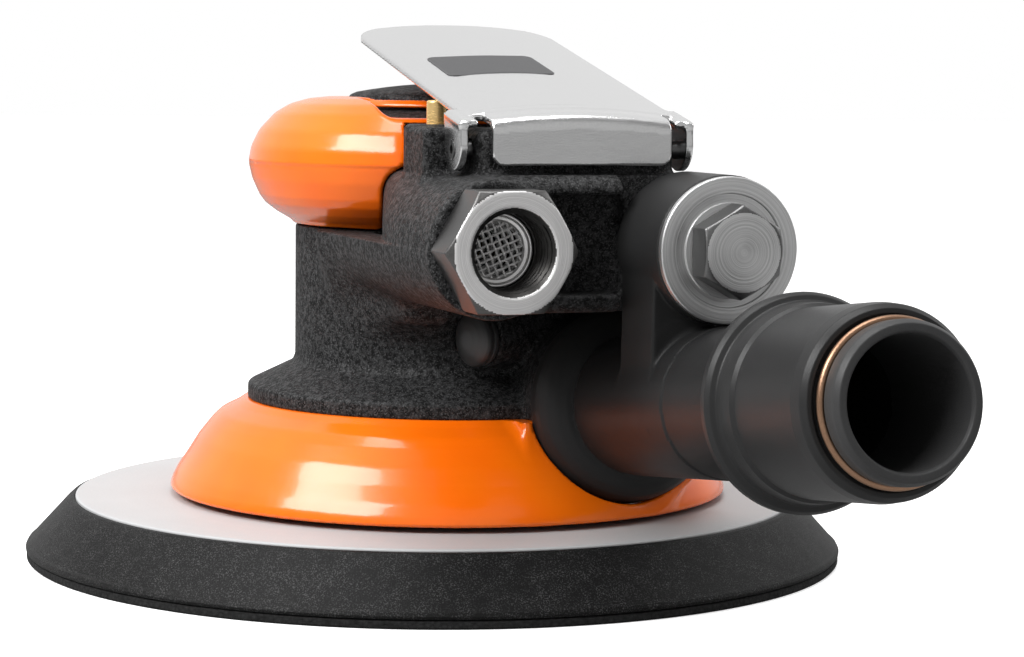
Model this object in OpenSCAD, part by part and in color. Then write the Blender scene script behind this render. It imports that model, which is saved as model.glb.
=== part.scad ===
// Palm-grip pneumatic random orbital sander with a self-generated dust
// extraction tube. Origin: centre of the sanding face on the motor axis.
// +Z is up along the motor, -Y is the rear (air inlet and suction tube).

/* [Pad] */
// Radius of the sanding pad lip
pad_r = 75; // [70:0.5:76]
// Radius of the pad's stiff top plate
plate_r = 66; // [60:0.5:66]
// Height of the pad's top plate above the sanding face
pad_h = 11.5; // [11:0.1:11.5]
// Radius of the circle of dust holes
dust_circle_r = 40; // [34:0.5:44]
// Radius of one dust hole
dust_hole_r = 5; // [3:0.25:6]
// Number of dust holes
dust_holes = 6; // [3:1:8]

/* [Orbit] */
// Distance from the motor axis to the pad axis, half the orbit diameter
orbit_e = 2.5; // [1:0.1:2.5]
// Direction of the pad offset at rest, degrees from +X
orbit_a = 161.6; // [0:1:359]

/* [Housing] */
// Outer radius of the motor housing
body_r = 28.35; // [28:0.05:29]
// Radius of the flange at the foot of the housing
flange_r = 37; // [36:0.1:37.4]
// Radius of the housing's motor bore
motor_r = 24; // [23.8:0.05:24.5]
// Radius of the two barrels of the valve block
barrel_r = 11; // [10.5:0.1:12]
// Half of the distance between the inlet and exhaust axes
port_x = 18; // [18:0.1:18.4]
// Height of the inlet and exhaust axes
port_z = 61; // [60.5:0.1:61.5]

/* [Inlet] */
// Width across flats of the inlet bushing
inlet_af = 19; // [18:0.5:20]
// Radius of the inlet's thread core
inlet_r = 5.9; // [5.7:0.05:6.2]

/* [Throttle] */
// Half width of the throttle lever
lever_hw = 18.4; // [17:0.1:18.6]
// Length of the lever's plate
lever_l = 64.6; // [56:0.2:66]
// Slope of the lever at rest
lever_a = 12.9; // [12:0.1:14]
// Radius of the lever plate's crown across its width
lever_crown = 121; // [100:1:400]
// Thickness of the lever's sheet
sheet = 1.3; // [1:0.1:1.5]
// Radius of the hinge pin
pin_r = 1.5; // [1.25:0.05:1.5]

/* [Suction tube] */
// Upward tilt of the suction tube towards the rear
tube_a = 6.67; // [5:0.1:8]
// Outer radius of the suction tube
tube_r = 12; // [11.6:0.1:12.2]
// Bore radius of the suction tube
tube_bore = 9.6; // [8:0.1:9.8]
// Length of the suction tube from its bell face
tube_l = 106; // [104:0.5:112]
// Outer radius of the hose adapter's spigot
spigot_r = 14.2; // [13.8:0.1:14.6]

/* [Motor] */
// Radius of the rotor
rotor_r = 17.6; // [16:0.1:17.6]
// Number of vanes
vanes_n = 5; // [4:1:6]

/* [Hidden] */
$fn = 96;
orange = [1, 0.45, 0.04];
black = [0.09, 0.09, 0.09];
ex = orbit_e * cos(orbit_a);
ey = orbit_e * sin(orbit_a);
pivot = [-61, 76.2];        // hinge pin, Y and Z
stem = [-17.6, -45];        // throttle stem axis, X and Y
reg_pos = [-7, -32.5, 42.6];
reg_a = 18.1;
tube_y = -41;               // bell face
tube_z = 31.6;
hex_f = 1 / cos(30);
// centre of the crown, so that the plate's long edges lie on its base plane
crown_z = -sqrt(lever_crown * lever_crown - lever_hw * lever_hw);

// Cylinder along Y from y0 (rear) to y1 (front)
module ycyl(x, z, y0, y1, r, r2 = -1) {
  translate([x, y1, z]) rotate([90, 0, 0]) cylinder(h = y1 - y0, r1 = r, r2 = r2 < 0 ? r : r2);
}
// Cylinder along X
module xcyl(x0, x1, y, z, r) {
  translate([x0, y, z]) rotate([0, 90, 0]) cylinder(h = x1 - x0, r = r);
}
// Hexagon along Y, corners on X, or on Z when turned by 30
module yhex(x, z, y0, y1, af, turn = 0) {
  translate([x, y1, z]) rotate([90, 0, 0]) rotate([0, 0, turn])
    cylinder(h = y1 - y0, r = af / 2 * hex_f, $fn = 6);
}
// Rectangle with round corners, exact arcs
module rrect(x0, y0, x1, y1, r) {
  translate([x0 + r, y0]) square([x1 - x0 - 2 * r, y1 - y0]);
  translate([x0, y0 + r]) square([x1 - x0, y1 - y0 - 2 * r]);
  for (x = [x0 + r, x1 - r], y = [y0 + r, y1 - r]) translate([x, y]) circle(r, $fn = 48);
}
// Block along X with a rounded Y-Z section
module xblock(x0, x1, y0, z0, y1, z1, r) {
  translate([x0, 0, 0]) rotate([90, 0, 90]) linear_extrude(x1 - x0) rrect(y0, z0, y1, z1, r);
}
module ring(r0, r1, z0, z1) {
  rotate_extrude() translate([r0, z0]) square([r1 - r0, z1 - z0]);
}
module at_pad() { translate([ex, ey, 0]) children(); }
module at_tube() { translate([port_x, tube_y, tube_z]) rotate([90 - tube_a, 0, 0]) children(); }
module at_reg() { translate(reg_pos) rotate([0, 90, reg_a]) children(); }
module race_outer(ro, ri, rp, rb, z, w) {
  rotate_extrude() difference() {
    translate([ri, z]) square([ro - ri, w]);
    translate([rp, z + w / 2]) circle(rb + 0.03, $fn = 48);
  }
}
module race_inner(ri, ro, rp, rb, z, w) {
  rotate_extrude() difference() {
    translate([ri, z]) square([ro - ri, w]);
    translate([rp, z + w / 2]) circle(rb + 0.03, $fn = 48);
  }
}
module balls(n, rp, rb, z) {
  for (i = [0:n - 1]) rotate(i * 360 / n) translate([rp, 0, z]) sphere(rb, $fn = 24);
}

// ---- housing -------------------------------------------------------------
module housing() color(black) difference() {
  union() {
    rotate_extrude() polygon([[0, 29], [flange_r, 29], [flange_r, 31.6], [body_r + 0.4, 35.6],
      [body_r, 36.4], [body_r, 60.6], [26.6, 60.9], [26.6, 80.5], [19, 82.2], [18.7, 84.4],
      [17.6, 85], [12, 86.1], [6, 86.6], [0, 86.75]]);
    // valve block: inlet barrel, exhaust barrel and the bridge between them
    ycyl(-port_x, port_z, -77, -14, barrel_r);
    ycyl(port_x, port_z, -66.8, -14, barrel_r);
    xblock(-port_x, port_x, -71, 50.2, -20, 72.3, 4);
    translate([-27.5, -60, 50.2]) cube([9.5, 40, 12]);
    translate([18, -60, 50.2]) cube([9.5, 40, 12]);
    // hinge support and stem boss
    xblock(-17.2, 17.2, -65.2, 66, -46, 79.6, 3.2);
    translate([stem[0], stem[1], 60]) cylinder(h = 20, r = 5.4);
    translate([stem[0], -54, 62]) cube([6, 9, 17.4]);
    translate([stem[0] - 5.4, -55.4, 62]) cube([9, 10.4, 17.4]);
    // boss of the speed regulator
    at_reg() translate([0, 0, 3]) cylinder(h = 6, r = 5.6);
    at_reg() translate([0, 0, 9]) cylinder(h = 3.5, r1 = 5.6, r2 = 4.2);
    // gusset under the inlet barrel
    translate([-24, -38, 45]) cube([13.6, 20, 8]);
  }
  // motor bore, counterbore for the shroud sleeve, core-out under the dome
  translate([0, 0, 28]) cylinder(h = 44, r = motor_r);
  translate([0, 0, 28]) cylinder(h = 4.9, r = 30);
  translate([0, 0, 71]) cylinder(h = 10, r = 13);
  // flat for the suction tube's lug, level with the exhaust barrel's face
  translate([5.8, -72, 48]) cube([14, 5.2, 26]);
  // recess in the rear face of the bridge
  translate([-7.5, -75, 53.2]) cube([15, 12, 16]);
  // inlet: bushing seat, valve chamber, air way
  ycyl(-port_x, port_z, -78, -61, 8);
  ycyl(-port_x, port_z, -61.1, -54, 5.5);
  ycyl(-port_x, port_z, -54.1, -20, 3.6);
  // exhaust: annular way round the bolt post
  difference() {
    ycyl(port_x, port_z, -68, -46, 8);
    ycyl(port_x, port_z, -64.5, -45, 5.6);
  }
  ycyl(port_x, port_z, -68, -48, 4.03); // bolt hole
  // exhaust way from the motor bore
  translate([port_x - 4, -46.5, port_z - 3]) cube([8, 26.5, 6]);
  // throttle stem: bushing seat and cross way
  translate([stem[0], stem[1], 56]) cylinder(h = 25.5, r = 3.2);
  // hinge pin
  xcyl(-18, 18, pivot[0], pivot[1], pin_r);
  // regulator spool
  at_reg() translate([0, 0, 2]) cylinder(h = 9, r = 3.04);
  at_reg() translate([0, 0, -1.5]) cylinder(h = 4.5, r = 5.2);
  // room for the lever's rear flange
  translate([-17, -80, 74]) cube([34, 14.4, 9]);
}

// ---- grip ----------------------------------------------------------------
module grip() color(orange) difference() {
  rotate_extrude() polygon([[26.65, 60.95], [28.5, 60.7], [29.4, 61.8], [32, 63.3], [34, 64.8],
    [35.1, 66.3], [35.9, 67.8], [36.4, 69.2], [36.9, 70.7], [37.1, 72.2], [37, 73.6],
    [36.6, 75.1], [35.9, 76.6], [35.1, 78.1], [34, 79.6], [32.3, 81.1], [29.5, 82.8],
    [26, 83.8], [22, 84.2], [19.4, 84.2], [19.2, 82.3], [26.65, 80.65]]);
  // valve block, boss and barrels pass through the rear of the grip
  translate([-port_x - 5.6, -60, 60]) cube([2 * port_x + 11.2, 28, 26]);
  translate([-port_x, -60, 55]) cube([2 * port_x, 40, 24.8]);
  ycyl(-port_x, port_z, -60, -14, barrel_r + 0.1);
  ycyl(port_x, port_z, -60, -14, barrel_r + 0.1);
  translate([-27.6, -60, 58]) cube([55.2, 44, 4.1]);
  translate([stem[0], stem[1], 55]) cylinder(h = 30, r = 5.6);
  xblock(-port_x, port_x, -71, 50, -19.8, 72.5, 4);
  // channel under the lever
  difference() {
    translate([-20.2, -60, 80.9]) cube([40.4, 51, 6]);
    translate([0, 0, 78]) cylinder(h = 9, r1 = 23, r2 = 19.6);
  }
}

// ---- shroud --------------------------------------------------------------
module shroud_section(o) {
  polygon([[0, 29 - o], [37.8, 29 - o], [39.3 - o, 27.9 - o / 2], [42.3 - o, 26.4 - o / 2],
    [45.1 - o, 23.4], [47.1 - o, 20.4], [49.2 - o, 17.5], [50.6 - o, 14.6], [51.6 - o, 12.2],
    [51.6 - o, 10], [0, 10]]);
}
module shroud() color(orange) difference() {
  union() {
    intersection() {
      rotate_extrude() polygon([[0, 29], [37.8, 29], [39.3, 27.9], [42.3, 26.4], [43.8, 24.9],
        [45.1, 23.4], [46.2, 21.9], [47.1, 20.4], [48, 19], [49.2, 17.5], [50, 16],
        [50.9, 14.2], [51.5, 12.2], [0, 12.2]]);
      translate([-60, -60, 12.2]) cube([120, 120, 16.8]);
    }
    ring(27.6, 29.95, 27, 32.6);
    // lower half of the socket round the suction bell
    intersection() {
      at_tube() translate([0, 0, -6]) cylinder(h = 7, r = 18.6);
      translate([-10, -60, 12.2]) cube([60, 40, 16.8]);
    }
  }
  // hollow
  rotate_extrude() polygon([[0, 27], [37, 27], [38.4, 26], [41, 24.6], [43.1, 21.9],
    [45.1, 18.8], [47.2, 15.6], [48.6, 12.9], [48.8, 12.1], [49, 10], [0, 10]]);
  translate([0, 0, 26]) cylinder(h = 9, r = 27.6);
  // socket bore for the bell
  at_tube() translate([0, 0, -3.2]) cylinder(h = 20, r = 17.2);
  at_tube() translate([0, 0, -14]) cylinder(h = 20, r = 15.4);
}

// ---- inlet ---------------------------------------------------------------
module inlet_bushing() color("dimgray") difference() {
  union() {
    intersection() {
      yhex(-port_x, port_z, -85.2, -77, inlet_af);
      union() {
        ycyl(-port_x, port_z, -84.3, -77, 11.6);
        ycyl(-port_x, port_z, -85.2, -84.3, 11.3, 9.6);
      }
    }
    ycyl(-port_x, port_z, -77, -62, 8);
  }
  ycyl(-port_x, port_z, -85.3, -84, inlet_r, 7.15);
  ycyl(-port_x, port_z, -84.1, -77.5, inlet_r);
  ycyl(-port_x, port_z, -77.6, -75.5, inlet_r + 0.6);
  ycyl(-port_x, port_z, -75.6, -61, 5.5);
}
module inlet_screen() color("silver") translate([-port_x, -76.2, port_z]) rotate([90, 0, 0]) {
  difference() {
    translate([0, 0, -0.25]) cylinder(h = 0.5, r = 5.1);
    translate([0, 0, -1]) cylinder(h = 2, r = 4.5);
  }
  for (i = [-4:4]) translate([i * 1.02 - 0.16, -sqrt(23.04 - pow(i * 1.02, 2)), -0.15])
    cube([0.32, 2 * sqrt(23.04 - pow(i * 1.02, 2)), 0.2]);
  for (i = [-4:4]) translate([-sqrt(23.04 - pow(i * 1.02, 2)), i * 1.02 - 0.16, -0.05])
    cube([2 * sqrt(23.04 - pow(i * 1.02, 2)), 0.32, 0.2]);
}
module screen_ring() color("gray") difference() {
  ycyl(-port_x, port_z, -77.4, -75.5, inlet_r + 0.55);
  ycyl(-port_x, port_z, -77.5, -76.45, 4.9);
  ycyl(-port_x, port_z, -76.5, -75.85, 5.15);
  ycyl(-port_x, port_z, -76, -75, 4.4);
}
module valve_seat() color("darkslategray") difference() {
  ycyl(-port_x, port_z, -57, -54.05, 5.45);
  ycyl(-port_x, port_z, -58, -53, 3.3);
}
module valve_tip() color("goldenrod") {
  ycyl(-port_x, port_z, -58.6, -57.1, 4.3);
  ycyl(-port_x, port_z, -60.2, -58.5, 1.2);
  ycyl(-port_x, port_z, -57.2, -43.6, 0.9);
}
module valve_spring() color("silver") {
  // conical spring, shown as a stack of round turns joined by short risers
  n = 6;
  for (i = [0:n]) translate([-port_x, -74.6 + i * 2.35, port_z]) rotate([90, 0, 0])
    rotate_extrude() translate([4.7 - i * 0.36, 0]) circle(0.4, $fn = 16);
  for (i = [0:n - 1]) ycyl(-port_x + (4.52 - i * 0.36) * (i % 2 == 0 ? 1 : -1), port_z,
    -74.6 + i * 2.35, -72.25 + i * 2.35, 0.38);
}
module valve_stem() color("goldenrod") difference() {
  union() {
    translate([stem[0], stem[1], 76]) cylinder(h = 7.54, r = 1.65);
    translate([stem[0], stem[1], 83.53]) cylinder(h = 0.45, r1 = 1.65, r2 = 1.2);
    translate([stem[0], stem[1], 69.5]) cylinder(h = 6.6, r = 1.65);
    translate([stem[0], stem[1], 58.6]) cylinder(h = 11, r = 2.5);
  }
  ycyl(-port_x, port_z, -50, -40, 1.6);
  translate([stem[0], stem[1], 0]) rotate_extrude() translate([2.5, 67]) circle(0.62, $fn = 32);
}
module stem_oring() color("black") translate([stem[0], stem[1], 67]) rotate_extrude()
  translate([2.48, 0]) circle(0.6, $fn = 32);
module stem_bushing() color("goldenrod") difference() {
  translate([stem[0], stem[1], 72.2]) cylinder(h = 7.6, r = 3.2);
  translate([stem[0], stem[1], 72]) cylinder(h = 9, r = 1.7);
}

// ---- lever ---------------------------------------------------------------
module lever_plan() {
  translate([-lever_hw, 0]) square([2 * lever_hw, lever_l - 5]);
  translate([-lever_hw + 5, 0]) square([2 * lever_hw - 10, lever_l]);
  for (s = [-1, 1]) translate([s * (lever_hw - 5), lever_l - 5]) circle(5, $fn = 64);
}
module ear(x0) difference() {
  translate([x0, 0, 0]) rotate([90, 0, 90]) linear_extrude(sheet) {
    translate([pivot[0] - 0.2, 76.9]) circle(4.2, $fn = 64);
    polygon([[pivot[0] - 4.4, 76.9], [pivot[0] + 4, 76.9], [pivot[0] + 4.6, 82.2],
      [pivot[0] - 4.4, 80.6]]);
  }
  xcyl(x0 - 1, x0 + 3, pivot[0], pivot[1], pin_r + 0.05);
}
module lever() color("silver") {
  translate([0, -62, 80.35]) rotate([lever_a, 0, 0]) intersection() {
    translate([0, 0, -1]) linear_extrude(6) lever_plan();
    translate([0, 70, crown_z]) rotate([90, 0, 0]) linear_extrude(71) difference() {
      circle(lever_crown + sheet, $fn = 360);
      circle(lever_crown, $fn = 360);
    }
  }
  // bend strips to the ears
  for (s = [-1, 1]) translate([s * 18.9 - 1.25, -61.6, 80.45]) rotate([lever_a, 0, 0])
    cube([2.5, 4.9, sheet]);
  ear(-20.15);
  ear(20.15 - sheet);
  // rear flange with its bend
  translate([-15.4, 0, 0]) rotate([90, 0, 90]) linear_extrude(30.8) difference() {
    union() {
      polygon([[-67.5, 73.6], [-66.2, 73.6], [-66.2, 79.6], [-65, 80.4], [-61.9, 80.5],
        [-61.9, 82.6], [-65.2, 82.5], [-66.7, 81.8], [-67.5, 80.6]]);
    }
  }
}
module lever_label() color("dimgray")
  translate([0, -62, 80.35]) rotate([lever_a, 0, 0]) intersection() {
    translate([0, 0, 0]) linear_extrude(6) rrect(-13, 25, 6.2, 39, 1.2);
    translate([0, 70, crown_z]) rotate([90, 0, 0]) linear_extrude(71) difference() {
      circle(lever_crown + sheet + 0.12, $fn = 360);
      circle(lever_crown + sheet, $fn = 360);
    }
  }
module lever_pin() color("silver") difference() {
  xcyl(-20.3, 20.3, pivot[0], pivot[1], pin_r);
  xcyl(-21, 21, pivot[0], pivot[1], pin_r * 0.5);
  translate([-21, pivot[0] - 0.15, pivot[1]]) cube([42, 0.3, 2]);
}

// ---- speed regulator -----------------------------------------------------
module regulator() color("dimgray") at_reg() rotate_extrude() difference() {
  polygon([[0, -0.95], [1.6, -0.85], [3, -0.55], [4.1, -0.1], [4.6, 0.3], [4.8, 0.8],
    [4.8, 1.3], [4.45, 1.4], [4.45, 1.9], [4.7, 2], [4.7, 2.5], [4.4, 2.6], [4.4, 2.95],
    [3, 2.95], [3, 10.5], [0, 10.5]]);
  translate([2.45, 6]) circle(0.58, $fn = 32);
}
module regulator_oring() color("black") at_reg() rotate_extrude()
  translate([2.45, 6]) circle(0.55, $fn = 32);

// ---- motor ---------------------------------------------------------------
module cylinder_sleeve() difference() {
  translate([0, 0, 42.5]) cylinder(h = 22, r = motor_r - 0.05);
  translate([2, 0, 42]) cylinder(h = 23, r = 20);
  for (z = [48, 53.5, 59]) translate([-port_x + 4, -30, z]) rotate([-90, 0, 12])
    cylinder(h = 20, r = 1.6);
  for (z = [48, 53.5, 59]) translate([port_x - 4, -30, z]) rotate([-90, 0, -12])
    cylinder(h = 20, r = 2);
  for (s = [-1, 1]) translate([0, s * 21.7, 40]) cylinder(h = 26, r = 1);
}
module cylinder_node() color("slategray") cylinder_sleeve();
module rear_end_plate() color("gray") difference() {
  translate([0, 0, 64.5]) cylinder(h = 7, r = motor_r - 0.05);
  translate([0, 0, 66]) cylinder(h = 6, r = 9.5);
  translate([0, 0, 64]) cylinder(h = 3, r = 6.4);
  for (s = [-1, 1]) translate([0, s * 21.7, 64]) cylinder(h = 3.5, r = 1);
  rotate_extrude() translate([motor_r - 0.8, 70]) circle(0.8, $fn = 32);
}
module front_end_plate() color("gray") difference() {
  translate([0, 0, 34.5]) cylinder(h = 8, r = motor_r - 0.05);
  translate([0, 0, 34]) cylinder(h = 7, r = 11);
  translate([0, 0, 40]) cylinder(h = 3, r = 6.9);
  for (s = [-1, 1]) translate([0, s * 21.7, 39.5]) cylinder(h = 3.5, r = 1);
}
module cylinder_pins() color("silver")
  for (s = [-1, 1]) translate([0, s * 21.7, 39.6]) cylinder(h = 27.8, r = 1);
module lock_ring() color("lightgray") difference() {
  translate([0, 0, 30]) cylinder(h = 4.5, r = motor_r - 0.05);
  translate([0, 0, 29]) cylinder(h = 6, r = 18.6);
  for (a = [0:90:270]) rotate(a) translate([21.3, 0, 29]) cylinder(h = 3.5, r = 1.6);
}
module dust_seal() color("tan") ring(7.1, 18.4, 33.6, 34.45);
module housing_oring() color("black") rotate_extrude()
  translate([motor_r - 0.8, 70]) circle(0.78, $fn = 32);
module rotor() color("silver") difference() {
  translate([0, 0, 42.6]) cylinder(h = 21.8, r = rotor_r);
  translate([0, 0, 42]) cylinder(h = 23, r = 5);
  for (i = [0:vanes_n - 1]) rotate(i * 360 / vanes_n) translate([11, -0.95, 42]) cube([8, 1.9, 23]);
  rotate(36) translate([4, -1.05, 47]) cube([3, 2.1, 13]);
}
module vanes() color("saddlebrown")
  for (i = [0:vanes_n - 1]) rotate(i * 360 / vanes_n)
    translate([11.3, -0.9, 42.65]) cube([rotor_r + 0.3 - 11.3, 1.8, 21.7]);
module rotor_key() color("silver") rotate(36) translate([4, -1, 47.5]) cube([2.8, 2, 12]);
module rear_bearing_outer() color("silver") race_outer(9.5, 8.2, 7.25, 1.3, 66, 5);
module rear_bearing_inner() color("silver") race_inner(5, 6.3, 7.25, 1.3, 66, 5);
module rear_bearing_balls() color("silver") balls(10, 7.25, 1.3, 68.5);
module front_bearing_outer() color("silver") race_outer(11, 9.1, 8, 1.6, 35, 6);
module front_bearing_inner() color("silver") race_inner(5, 6.9, 8, 1.6, 35, 6);
module front_bearing_balls() color("silver") balls(9, 8, 1.6, 38);
module shaft_ring() color("dimgray") difference() {
  translate([0, 0, 71.05]) cylinder(h = 0.5, r = 6.1);
  translate([0, 0, 71]) cylinder(h = 1, r = 4.7);
  translate([0, -0.8, 70.9]) cube([8, 1.6, 1]);
}

// ---- eccentric shaft and spindle -----------------------------------------
module shaft_balancer() color("slategray") difference() {
  union() {
    translate([0, 0, 32]) cylinder(h = 39.8, r = 5);
    translate([0, 0, 32]) cylinder(h = 3, r = 6.5);
    at_pad() translate([0, 0, 15.6]) cylinder(h = 17.4, r = 15);
    translate([0, 0, 18]) linear_extrude(8) intersection() {
      circle(31);
      rotate(orbit_a + 180) translate([4, -32]) square([40, 64]);
    }
  }
  at_pad() translate([0, 0, 15]) cylinder(h = 16, r = 12);
  at_pad() rotate_extrude() translate([11, 16]) square([1.5, 0.8]);
  translate([0, 0, 71.05]) rotate_extrude() translate([4.7, 0]) square([1, 0.5]);
  rotate(36) translate([4, -1, 47.5]) cube([2, 2, 12]);
}
module spindle_bearing_outer() color("silver") at_pad() {
  race_outer(12, 10.1, 9, 1.7, 16.85, 6);
  race_outer(12, 10.1, 9, 1.7, 22.9, 6);
}
module spindle_bearing_inner() color("silver") at_pad() {
  race_inner(6, 7.9, 9, 1.7, 16.85, 6);
  race_inner(6, 7.9, 9, 1.7, 22.9, 6);
}
module spindle_bearing_balls() color("silver") at_pad() {
  balls(9, 9, 1.7, 19.85);
  rotate(20) balls(9, 9, 1.7, 25.9);
}
module spindle_circlip() color("dimgray") at_pad() difference() {
  translate([0, 0, 16]) cylinder(h = 0.8, r = 12.4);
  translate([0, 0, 15]) cylinder(h = 3, r = 10.4);
  translate([0, -2, 15]) cube([14, 4, 3]);
}
module spindle() color("silver") at_pad() difference() {
  union() {
    translate([0, 0, pad_h + 0.05]) cylinder(h = 3, r = 8.5 * hex_f, $fn = 6);
    translate([0, 0, pad_h + 3]) cylinder(h = 16.85 - pad_h - 3, r = 7.4);
    translate([0, 0, 16.8]) cylinder(h = 12.1, r = 6);
  }
  translate([0, 0, 10]) cylinder(h = 12, r = 3.95);
  translate([0, 0, 23]) cylinder(h = 8, r = 2);
}
module spindle_washer() color("silver") at_pad() ring(2.05, 7.4, 28.9, 29.5);
module spindle_screw() color("dimgray") at_pad() difference() {
  union() {
    translate([0, 0, 23.4]) cylinder(h = 6.2, r = 2);
    translate([0, 0, 29.5]) cylinder(h = 1.2, r = 3.4);
  }
  translate([0, 0, 29.9]) cylinder(h = 2, r = 1.2 * hex_f, $fn = 6);
}

// ---- pad -----------------------------------------------------------------
module dust_holes_cut() for (i = [0:dust_holes - 1]) rotate(i * 360 / dust_holes + 30)
  translate([dust_circle_r, 0, -1]) cylinder(h = 20, r = dust_hole_r);
module pad_stud() color("silver") at_pad() {
  translate([0, 0, 5]) cylinder(h = 16, r = 3.9);
  translate([0, 0, 5]) cylinder(h = 4, r = 7 * hex_f, $fn = 6);
}
module pad_plate() color("gainsboro") at_pad() difference() {
  union() {
    translate([0, 0, pad_h - 1.2]) cylinder(h = 1.2, r = plate_r);
    translate([0, 0, 4]) cylinder(h = pad_h - 5, r = 16);
  }
  translate([0, 0, 3]) cylinder(h = 10, r = 3.9);
  translate([0, 0, 5]) cylinder(h = 4, r = 7 * hex_f, $fn = 6);
  dust_holes_cut();
}
module pad_foam() color([0.12, 0.12, 0.12]) at_pad() difference() {
  rotate_extrude() polygon([[0, 1.5], [pad_r, 1.5], [pad_r, 2.4], [pad_r - 0.4, 2.8],
    [plate_r + 1.6, pad_h - 1], [plate_r + 0.8, pad_h - 0.4], [plate_r, pad_h - 0.3],
    [plate_r, pad_h - 1.2], [16, pad_h - 1.2], [16, 4], [0, 4]]);
  dust_holes_cut();
}
module hook_face() color([0.2, 0.2, 0.2]) at_pad() difference() {
  cylinder(h = 1.5, r = pad_r - 0.2);
  dust_holes_cut();
}

// ---- suction tube --------------------------------------------------------
module suction_tube() color(black) difference() {
  union() {
    at_tube() rotate_extrude() polygon([[0, 0], [17, 0], [17, 2.6], [16.7, 3.8], [15.9, 5.2],
      [14.6, 6.4], [13, 7.2], [11.7, 7.5], [11.7, 8.1], [tube_r + 0.2, 8.3], [tube_r + 0.2, 46],
      [tube_r - 0.1, 46.4], [tube_r - 0.1, 70], [11.5, 70.3], [11.5, 100.6], [10.9, 100.7],
      [10.9, 102.2], [11.6, 102.4], [11.6, tube_l - 0.6], [11, tube_l], [0, tube_l]]);
    ycyl(port_x, port_z, -84, -67.1, 11.9);
    translate([port_x - 11, -80.6, 40]) cube([22.4, 13.5, port_z - 40]);
    intersection() {
      translate([port_x - 11, -80.6, 34]) cube([22.4, 13.5, 8]);
      at_tube() cylinder(h = 60, r = tube_r + 4);
    }
  }
  at_tube() translate([0, 0, 4]) cylinder(h = tube_l, r = tube_bore);
  // mouth into the hollow under the housing
  at_tube() translate([-8.6, 1.6, -1]) cube([17.2, 8.4, 6]);
  // exhaust way from the lug down to the tube
  ycyl(port_x, port_z, -80.5, -66, 8);
  ycyl(port_x, port_z, -85, -66, 4.2);
  translate([port_x, -73.6, 40]) cylinder(h = port_z - 40, r = 5);
}
module lug_seal() color("black") difference() {
  ycyl(port_x, port_z, -67.1, -66.8, 10.6);
  ycyl(port_x, port_z, -68, -66, 8.2);
}
module lug_washer() color("silver") difference() {
  ycyl(port_x, port_z, -85.3, -84, 11.7);
  ycyl(port_x, port_z, -86, -83, 4.3);
  difference() {
    ycyl(port_x, port_z, -86, -84.9, 9);
    ycyl(port_x, port_z, -86, -84.8, 7.6);
  }
}
module lug_bolt() color("gray") {
  intersection() {
    yhex(port_x, port_z, -90.8, -85.3, 13, 30);
    union() {
      ycyl(port_x, port_z, -89.9, -85.3, 8);
      ycyl(port_x, port_z, -90.8, -89.9, 7.9, 6.2);
    }
  }
  ycyl(port_x, port_z, -85.4, -52, 4);
}
module hose_adapter() color([0.13, 0.13, 0.13]) at_tube() rotate_extrude()
  polygon([[11.55, 71.4], [16.4, 71.4], [16.6, 71.8], [16.6, 73.2], [16.2, 73.8], [15.2, 74.2],
    [15, 75.4], [spigot_r + 0.5, 78], [spigot_r, 79], [spigot_r, 97], [spigot_r - 0.3, 99.6],
    [spigot_r - 1, 100.5], [11.55, 100.5]]);
module adapter_ring() color("peru") at_tube() difference() {
  rotate_extrude() translate([11.6, 101.5]) circle(0.68, $fn = 32);
  rotate(200) translate([8, -4, 99]) cube([8, 8, 5]);
}

housing();
grip();
shroud();
inlet_bushing();
inlet_screen();
screen_ring();
valve_seat();
valve_tip();
valve_spring();
valve_stem();
stem_oring();
stem_bushing();
lever();
lever_label();
lever_pin();
regulator();
regulator_oring();
cylinder_node();  // cylinder
rear_end_plate();
front_end_plate();
cylinder_pins();
lock_ring();
dust_seal();
housing_oring();
rotor();
vanes();
rotor_key();
rear_bearing_outer();
rear_bearing_inner();
rear_bearing_balls();
front_bearing_outer();
front_bearing_inner();
front_bearing_balls();
shaft_ring();
shaft_balancer();
spindle_bearing_outer();
spindle_bearing_inner();
spindle_bearing_balls();
spindle_circlip();
spindle();
spindle_washer();
spindle_screw();
pad_stud();
pad_plate();
pad_foam();
hook_face();
suction_tube();
lug_seal();
lug_washer();
lug_bolt();
hose_adapter();
adapter_ring();
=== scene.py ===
import math

import bmesh
import bpy
import numpy as np
from mathutils import Matrix, Vector


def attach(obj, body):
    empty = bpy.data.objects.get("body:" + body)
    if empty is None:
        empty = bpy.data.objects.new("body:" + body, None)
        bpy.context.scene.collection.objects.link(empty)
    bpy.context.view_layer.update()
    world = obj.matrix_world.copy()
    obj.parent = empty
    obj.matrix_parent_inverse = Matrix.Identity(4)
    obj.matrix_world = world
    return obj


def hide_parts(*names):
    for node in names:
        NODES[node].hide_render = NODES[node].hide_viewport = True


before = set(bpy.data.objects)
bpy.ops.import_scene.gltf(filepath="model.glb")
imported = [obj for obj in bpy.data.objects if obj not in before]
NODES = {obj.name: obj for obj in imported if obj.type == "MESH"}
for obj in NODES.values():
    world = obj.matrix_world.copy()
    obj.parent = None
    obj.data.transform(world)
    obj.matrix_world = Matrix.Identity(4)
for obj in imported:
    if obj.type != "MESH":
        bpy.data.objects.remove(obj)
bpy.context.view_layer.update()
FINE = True
MM = 0.001

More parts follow.
